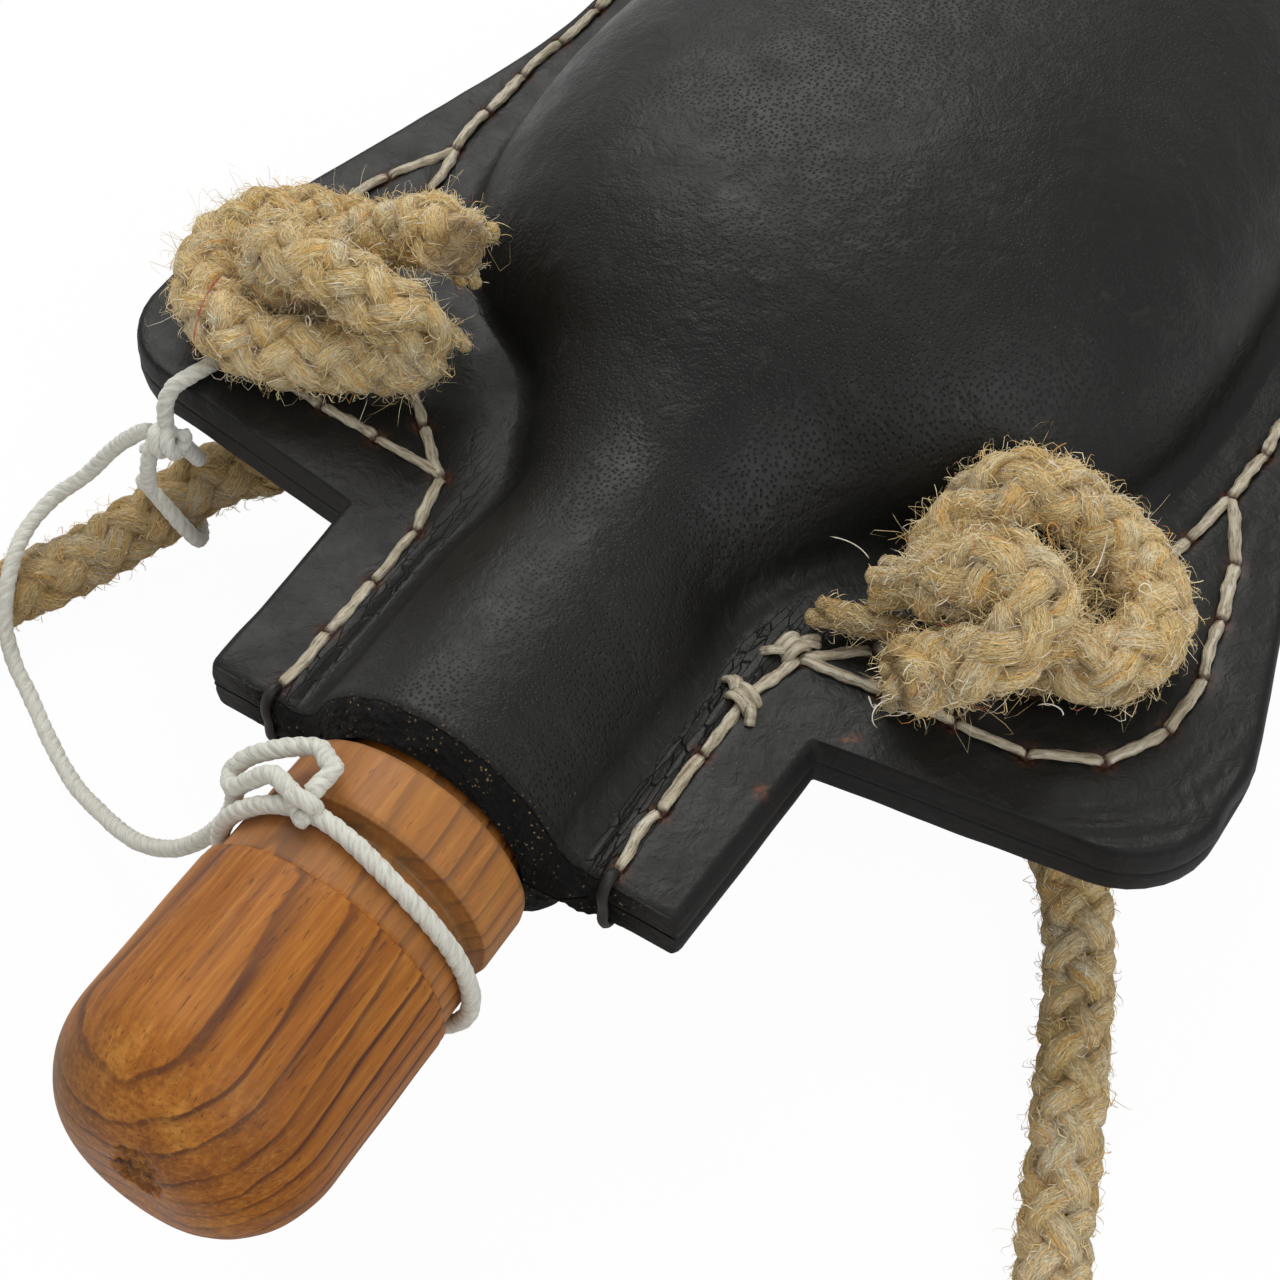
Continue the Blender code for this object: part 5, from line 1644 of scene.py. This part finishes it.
# %% Frayed ends
def tassel(root, tip, yarns, spread, thick, dark, seed):
    """Blunt yarns that leave one spot and splay out, each on a slightly bent line of its own.

    Places, spread and thickness are in millimetres. dark is how brown the yarns stay.
    """
    rng = np.random.default_rng(seed)
    root, tip, spread, thick = (MM * np.array(value) for value in (root, tip, spread, thick))
    heading = unit(tip - root)
    side = unit(np.cross(heading, (0.2, 0.1, 1.0)))
    grids, shade, lines = [], [], []
    for k in range(yarns):
        around = 2 * np.pi * (k + rng.uniform(-0.2, 0.2)) / yarns
        off = spread * (math.cos(around) * side + math.sin(around) * np.cross(heading, side))
        off = off * rng.uniform(0.75, 1.1) * (0.3 if k == 0 else 1.0)
        end = tip + off + heading * rng.normal(0, 0.0009)
        middle = (root + tip) / 2 + 0.75 * off + rng.normal(0, 0.0003, 3)
        path = smooth_route([root + 0.4 * off, middle, end], CORD_STEP)
        run = run_along(path)
        along = np.stack([run, 0 * run + 0.1 * k, 0 * run], -1)
        ends = np.clip((run[-1] - run) / 0.0005, 0.05, 1.0) ** 0.5
        size = thick * rng.uniform(0.85, 1.15) * (1 + 0.16 * waves(along, 0.004, seed + k)) * ends
        outward = unit(off)[None] * np.ones((len(path), 1))
        rings = strand_rings(path, outward, size, size * 0.9, 14, yarns=6, ridge=0.08,
                             spin=run / 0.0012)
        grids.append((rings, True, stretch_ends(run) + k, np.arange(15) / 14))
        # painted shade: each yarn is darkest at its root in the knot and fades within 3 mm to dark
        shade.append(stretch_ends(np.clip(1 + dark - run / 0.003, dark, 1)).repeat(14))
        lines.append((path, outward, size, size * 0.9, np.ones(len(path))))
    return grids, shade, lines


# %% Knots
KNOT_LAY = 0.024
KNOT_SWELL = 1.11


def rope_knot(name, side, route, node, seed, tassels):
    """Knot on the ear: the plaited rope led along its route, with its frayed ends and fibres."""
    path = smooth_route(np.vstack([hole_stem(side, True), route]), 0.0006)
    run = run_along(path)
    full = KNOT_SWELL * (1 + 0.05 * np.clip((run - run[-1] + 0.012) / 0.008, 0, 1))
    grids, shade, lines = plait(path, ROPE, KNOT_LAY, 14, seed, full, SURFACE + 0.0002, rough=0.18)
    lying = [fluff(lines, 11500, seed + 1)]
    batches = [fluff(lines, 7500, seed + 3, reach=(0.0006, 0.0019), loose=0.25,
                     thick=(0.00004, 0.00009))]
    for i, (root, tip, yarns, spread, thick, dark) in enumerate(tassels):
        more, more_shade, more_lines = tassel(root, tip, yarns, spread, thick, dark, seed + 10 * i)
        grids, shade = grids + more, shade + more_shade
        batches += [fluff([line], 60, seed + 5 + i, reach=(0.0010, 0.0026), loose=0.12)
                    for line in more_lines]
    item = make_mesh(name, grids, hemp, painted={"groove": np.concatenate(shade)})
    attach(item, "bottle")
    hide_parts(node)
    return item, lying, batches


knot_right, right_lying, right_hair = rope_knot(
    "knot_right", 1.0, KNOT_RIGHT_ROUTE, "rope_knot_right", 41,
    [((37.0, 47.8, 14.0), (28.4, 44.6, 10.8), 7, 2.2, 1.05, 0.0),
     ((39.2, 41.0, 10.5), (36.4, 34.6, 8.2), 7, 2.4, 1.1, 0.0),
     ((34.5, 43.0, 8.5), (24.0, 41.0, 7.0), 5, 1.1, 1.0, 0.45)])
knot_left, left_lying, left_hair = rope_knot(
    "knot_left", -1.0, KNOT_LEFT_ROUTE, "rope_knot_left", 51,
    [((-37.2, 56.0, 20.5), (-33.5, 55.2, 15.0), 4, 1.2, 1.0, 0.0),
     ((-37.6, 58.0, 19.0), (-33.8, 60.0, 19.5), 5, 2.2, 1.05, 0.0),
     ((-39.5, 59.2, 17.0), (-41.8, 63.2, 17.2), 5, 2.0, 1.05, 0.0),
     ((-33.5, 48.0, 15.0), (-29.2, 48.5, 12.2), 2, 0.6, 0.8, 0.0)])

# %% [markdown]
# ## Loose fibres on the knots
# A few long fibres stand off in curls, one red fibre goes round the left knot, and the middle of
# each knot is filled with a tangle. They share the fibres' material, and their tint picks the
# colour.

# %% Single fibres
def thin_tube(line, aside, thick, tip):
    """Three-sided tube round a line, that thins to its share tip at both ends."""
    t = np.linspace(0, 1, len(line))[:, None, None]
    spin = ring_angles(3)[:, None]
    tangent = unit(np.gradient(line, axis=0))
    a = unit(np.cross(tangent, aside))
    b = np.cross(tangent, a)
    taper = thick * np.clip(8 * np.minimum(t, 1 - t) + tip, 0, 1)
    return line[:, None] + taper * (np.cos(spin) * a[:, None] + np.sin(spin) * b[:, None])


def curls(spots, seed):
    """Long fibres that stand off in loops: a small circle that grows and drifts from its start.

    A spot is the circle's middle and radius in millimetres, its turns, and the fibre's tint.
    """
    rng = np.random.default_rng(seed)
    made = []
    for centre, radius, turns, _ in spots:
        centre, radius = MM * np.array(centre), MM * radius
        t = np.linspace(0, 1, 40)[:, None]
        aim = unit(rng.normal(size=3) + (0, -0.6, 0.8))
        side = unit(np.cross(aim, (0.1, 1.0, 0.3)))
        up = np.cross(aim, side)
        angle = 2 * np.pi * turns * t + rng.uniform(0, 6)
        grow = radius * (0.65 + 0.5 * t)
        line = (centre + grow * (np.cos(angle) * side + np.sin(angle) * up)
                + rng.normal(0, radius, 3) * t)
        made.append(thin_tube(line, aim, 0.00008, 0.01))
    return np.stack(made), np.array([spot[3] for spot in spots])


def nest(centre, size, count, seed):
    """Tangle of short fibres that fills the middle of a knot: random roots in a flat ball."""
    rng = np.random.default_rng(seed)
    roots = np.array(centre) + rng.normal(size=(count, 3)) * np.array(size) * 0.45
    heading = rng.normal(size=(count, 3)) * (1.0, 1.0, 0.5)
    thick = rng.uniform(0.00008, 0.00018, count)
    return (hairs(roots, heading, rng.uniform(0.0015, 0.0042, count), thick, 0.8, seed + 1),
            rng.uniform(0.04, 0.75, count))


# %% Curls and tangles
LEFT_CURLS = [((-45.6, 39.3, 16.0), 1.1, 1.2, 1.0), ((-38.9, 43.0, 9.0), 0.9, 1.3, 1.0),
              ((-34.4, 45.5, 8.0), 0.8, 1.5, 1.0), ((-61.3, 39.4, 13.0), 1.8, 0.7, 1.0),
              ((-64.0, 38.0, 10.5), 1.2, 1.1, 1.0), ((-62.5, 38.5, 12.0), 1.6, 0.8, 1.0),
              ((-50.0, 42.0, 22.0), 1.4, 0.8, 0.95), ((-41.0, 44.0, 23.5), 1.2, 0.7, 0.95)]
RIGHT_CURLS = [((27.2, 46.2, 12.0), 2.2, 0.35, 1.0), ((26.2, 45.5, 12.5), 1.8, 0.3, 1.0),
               ((53.0, 42.0, 8.5), 1.3, 0.5, 1.0), ((36.5, 33.5, 7.8), 1.2, 0.7, 1.0),
               ((35.2, 33.5, 7.0), 1.0, 0.9, 1.0), ((42.0, 60.0, 22.5), 1.2, 0.9, 1.0),
               ((49.0, 60.0, 16.0), 1.6, 0.8, 1.0), ((56.0, 56.0, 16.0), 1.4, 0.8, 1.0),
               ((45.5, 50.0, 25.5), 1.6, 0.6, 0.02), ((56.0, 47.0, 15.5), 1.8, 0.5, 0.02),
               ((40.0, 64.0, 22.0), 1.8, 0.5, 0.02)]
right_nest = nest((0.0470, 0.0562, 0.0085), (0.0042, 0.0040, 0.0045), 900, 7)
left_nest = nest((-0.0580, 0.0475, 0.0080), (0.0050, 0.0035, 0.0045), 700, 8)
red = np.radians(np.linspace(120, 5, 9))[:, None]
red_line = (np.array((-0.0588, 0.0382, 0.0105))
            + 0.0060 * np.cos(red) * unit(np.array((0.20, -0.98, 0.0)))
            + 0.0049 * np.sin(red) * np.array((0.0, 0.0, 1.0)))
red_tube = thin_tube(smooth_route(red_line, CORD_STEP), (0.1, 0.2, 1.0), 0.00012, 0.005)
red_fibre = (red_tube[None], np.array([0.004]))
right_hair += [right_nest, curls(RIGHT_CURLS, 5)]
left_hair += [left_nest, curls(LEFT_CURLS, 5), red_fibre]
knot_hair = [hair_mesh(name, batches, hemp_fibre, "bottle") for name, batches in
             (("knot_right_fibres", right_lying), ("knot_right_fuzz", right_hair),
              ("knot_left_fibres", left_lying), ("knot_left_fuzz", left_hair))]

# %% Fibres of the strap
ring_count = len(strap_path)
left_end = np.searchsorted(strap_run, 0.135) / ring_count
right_start = np.searchsorted(strap_run, strap_run[-1] - 0.095) / ring_count
left_hairs, left_tints = fluff(strap_lines, 6500, 61, end=left_end, loose=0.015,
                               reach=(0.0010, 0.0028))
right_batch = fluff(strap_lines, 5200, 63, start=right_start, loose=0.02, reach=(0.0010, 0.0030))
# painted shade: the fibres on the left stretch take only the darker tints
strap_fuzz = hair_mesh("strap_fibres", [(left_hairs, 0.04 + 0.40 * left_tints), right_batch],
                       hemp_fibre, "bottle")
coil_batch = fluff(strap_lines, 6000, 65, start=left_end, end=right_start, loose=0.04)
coil_fuzz = hair_mesh("coil_fibres", [coil_batch], hemp_fibre, "bottle")


# %% [markdown]
# ## Tether
# The stopper can't be lost, because a cotton cord ties it to the left ear. A noose sits round
# the stopper's shoulder, and the free length lies on the ground between the two. Cotton cord is
# laid from three hard strands, so each strand is a tube on a steep helix.

# %% Tether
COTTON_LAY = 0.0050


def cotton_piece(name, path, body, nodes, seed, diameter=TETHER):
    """Three strands whose middles circle the path once per lay, at an eighth of the diameter."""
    _, side, up = carried_frame(path)
    run = run_along(path)
    grids = []
    for k in range(3):
        angle = 2 * np.pi * (run / COTTON_LAY + k / 3) + 0.12 * waves(path, 0.006, seed)
        outward = np.cos(angle)[:, None] * side + np.sin(angle)[:, None] * up
        centre = path + 0.125 * diameter * outward
        thick = 0.380 * diameter * (1 + 0.05 * waves(path, 0.005, seed + k))
        thick = thick * round_ends(run, 0.0004)
        rings = strand_rings(centre, outward, thick, thick, 16, spin=-run / 0.0006)
        grids.append((rings, True, stretch_ends(run) + k, np.arange(17) / 16))
    item = make_mesh(name, grids, cotton)
    if body:
        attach(item, body)
    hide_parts(*nodes)
    return item


tether_start = [(-0.0628, 0.0270, -0.0022), (-0.0649, 0.0271, -0.0040), (-0.0668, 0.0271, -0.0061)]
tether_path = smooth_route(np.vstack([tether_start, TETHER_ROUTE]), 0.00045)
tether = cotton_piece("tether_free", tether_path, None, ["tether_cord"], 81)
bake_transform(tether)


# %% [markdown]
# ## Noose
# The noose lies on the stopper's shoulder and rides with it. It is a circle that is drawn aside
# where its knot is, and a bight of the cord stands out of the knot as an eye.

# %% Noose
NOOSE_AT, NOOSE_PULL = 0.0169, 0.0018
noose_radius = SHOULDER + CLEAR + TETHER / 2
knot_angle = math.radians(104.0)
noose_turn = np.linspace(knot_angle + 0.03, knot_angle + 2 * np.pi - 0.03, 230)
noose_pull = NOOSE_PULL * np.clip(np.cos(noose_turn - knot_angle), 0, 1) ** 6
noose_path = np.stack([noose_radius * np.cos(noose_turn), noose_pull - NOOSE_AT,
                       noose_radius * np.sin(noose_turn)], -1)
cotton_piece("noose_loop", noose_path, "noose", ["tether_noose"], 83)
noose_lift = SHOULDER + CLEAR + TETHER_KNOT
NOOSE_KNOT = np.array([noose_lift * math.cos(knot_angle), NOOSE_PULL - NOOSE_AT,
                       noose_lift * math.sin(knot_angle)])
EYE_BIGHT = MM * np.array([
    (-0.9, 5.4, -0.2), (-3.1, 6.8, -1.2), (-6.0, 6.2, -2.4), (-9.0, 4.9, -4.0),
    (-11.5, 3.9, -6.2), (-12.7, 2.5, -8.0), (-11.5, 1.1, -7.6), (-8.5, 1.2, -4.4)])


def lead(centre, heading):
    """Two points that bring a cord straight out of a knot, one diameter long."""
    heading = unit(np.array(heading))
    near = np.array(centre) + heading * (TETHER_KNOT + 0.00045)
    return [near, near + heading * TETHER]


eye_points = np.vstack([NOOSE_KNOT + (0.0002, 0.0008, 0.0006), lead(NOOSE_KNOT, (0.05, 1.0, 0.1)),
                        NOOSE_KNOT + EYE_BIGHT, lead(NOOSE_KNOT, (-1.0, 0.3, -0.15))[::-1],
                        NOOSE_KNOT + (-0.0008, 0.0002, -0.0002)])
cotton_piece("noose_eye", smooth_route(eye_points, CORD_STEP), "noose", ["tether_eye"], 85)


# %% [markdown]
# ## Small knots
# A small knot is pulled tight, so only its outer turns show. Each is a short coil about an axis.

# %% Small knots
def small_knot(name, centre, body, node, axis, seed, turns, wide, long):
    """Drawn-up knot: a few close turns about an axis."""
    axis = unit(np.array(axis, dtype=float))
    side = unit(np.cross(axis, (0.3, 0.2, 0.9)))
    up = np.cross(axis, side)
    t = np.linspace(0, 1, int(60 * turns))
    angle = 2 * np.pi * turns * t
    path = (np.array(centre) + axis * ((t - 0.5) * long)[:, None]
            + wide * (np.cos(angle)[:, None] * side + np.sin(angle)[:, None] * up))
    return cotton_piece(name, smooth_route(path[::6], CORD_STEP), body, [node], seed,
                        diameter=TETHER * 0.95)


small_knot("noose_knot", NOOSE_KNOT, "noose", "tether_noose_knot", (0.2, 1.0, 0.1), 87, 1.5,
           0.0012, 0.0024)
small_knot("hitch_knot", np.array(HITCH_KNOT) + (0.0012, -0.0018, 0.0004), "bottle",
           "tether_hitch_knot", (0.95, 0.25, 0.15), 89, 2.7, 0.00125, 0.0046)


# %% [markdown]
# ## Hitch
# At the ear the cord is tied round the strap. One leg comes over the ear to the knot at its
# front edge, and a loop goes from there round the rope under the ear. The loop is a circle round
# the rope that slides along it as it turns.

# %% Hitch
over = SURFACE + CLEAR + TETHER / 2
leg = ((-0.0578, 0.0362, over), (-0.0584, 0.0338, over), (-0.0592, 0.0314, over),
       (-0.0598, 0.0299, over - 0.0003), (-0.0603, 0.0288, over - 0.0016))
leg_points = np.vstack([leg, np.array(HITCH_KNOT) + (0.0004, -0.0006, 0.0012)])
cotton_piece("hitch_leg", smooth_route(leg_points, CORD_STEP), "bottle", ["tether_hitch_leg"], 91)
loop_radius = SOFT * ROPE / 2 + CLEAR + TETHER / 2
low_end, high_end = STRAP_LEFT_ROUTE[3], STRAP_LEFT_ROUTE[2]
rope_way = unit(low_end - high_end)
rope_across = unit(np.cross(rope_way, (0.0, 0.0, 1.0)))
rope_up = np.cross(rope_across, rope_way)
loop_degrees = np.linspace(75.0, 395.0, 40)[:, None]
loop_turn = np.radians(loop_degrees)
slide = np.interp(loop_degrees, [75.0, 220.0, 395.0], [0.0030, 0.0012, -0.0035])
round_rope = ((low_end + high_end) / 2 + rope_way * slide
              + loop_radius * (np.cos(loop_turn) * rope_across + np.sin(loop_turn) * rope_up))
down = [(-0.0612, 0.0258, -0.0020), (-0.0620, 0.0246, -0.0060), (-0.0633, 0.0252, -0.0110)]
back_up = [(-0.0608, 0.0318, -0.0110), (-0.0596, 0.0284, -0.0040)]
loop_points = np.vstack([down, round_rope[2:-2], back_up])
loop_path = smooth_route(loop_points, CORD_STEP)
cotton_piece("strap_loop", loop_path, "bottle", ["tether_strap_loop"], 93)


# %% [markdown]
# ## Studio
# The product lies on a white sweep under large soft lamps. The camera sees pure white behind it.

# %% Floor
floor_mesh = bpy.data.meshes.new("floor")
floor_mesh.from_pydata([(-3, -3, 0), (3, -3, 0), (3, 3, 0), (-3, 3, 0)], [], [(0, 1, 2, 3)])
floor_look = Look("pale_floor")
floor_look.finish(floor_look.ramp(floor_look.noise(3.0), (0.3, 0.86), (0.7, 0.90)), 0.9)
floor_mesh.materials.append(floor_look.material)
floor = bpy.data.objects.new("floor", floor_mesh)
floor.location = (0, 0, -0.0002)
scene.collection.objects.link(floor)
print("floor", round(1000 * floor.location.z, 1), "mm high")


# %% White for the camera
def seen_as(tree, shader, glow, output, share):
    """The camera sees the glow by this share, and every other ray meets the shader."""
    ray = tree.nodes.new("ShaderNodeLightPath")
    part = tree.nodes.new("ShaderNodeMath")
    part.operation = "MULTIPLY"
    part.inputs[1].default_value = share
    both = tree.nodes.new("ShaderNodeMixShader")
    glow.inputs["Color"].default_value = (1.0, 1.0, 1.0, 1.0)
    glow.inputs["Strength"].default_value = 1.0
    tree.links.new(ray.outputs["Is Camera Ray"], part.inputs[0])
    for maker, socket in ((part, both.inputs[0]), (shader, both.inputs[1]),
                          (glow, both.inputs[2]), (both, output.inputs["Surface"])):
        tree.links.new(maker.outputs[0], socket)


floor_nodes = floor_look.tree.nodes
seen_as(floor_look.tree, floor_look.shader, floor_nodes.new("ShaderNodeEmission"),
        floor_nodes["Material Output"], 0.97)
world = bpy.data.worlds.new("studio")
world.use_nodes = True
scene.world = world
world_nodes = world.node_tree.nodes
world_nodes["Background"].inputs["Color"].default_value = (1.0, 1.0, 1.0, 1.0)
world_nodes["Background"].inputs["Strength"].default_value = 0.50
seen_as(world.node_tree, world_nodes["Background"], world_nodes.new("ShaderNodeBackground"),
        world_nodes["World Output"], 1.0)


# %% Lamps
def lamp(name, size, power, place, colour):
    """Round soft lamp of that size in metres and power in watts, turned towards the bottle."""
    data = bpy.data.lights.new(name, "AREA")
    data.shape = "DISK"
    data.size = size
    data.energy = power
    data.color = colour
    item = bpy.data.objects.new(name, data)
    item.location = place
    aim = Vector(np.array((0, 0, 0.02)) - np.array(place))
    item.rotation_euler = aim.to_track_quat("-Z", "Y").to_euler()
    scene.collection.objects.link(item)


lamp("window", 0.9, 8.0, (-0.55, 0.55, 0.95), (1.0, 0.99, 0.97))
lamp("fill", 0.8, 3.6, (0.75, -0.25, 0.75), (0.97, 0.98, 1.0))
scene.view_settings.view_transform = "Standard"
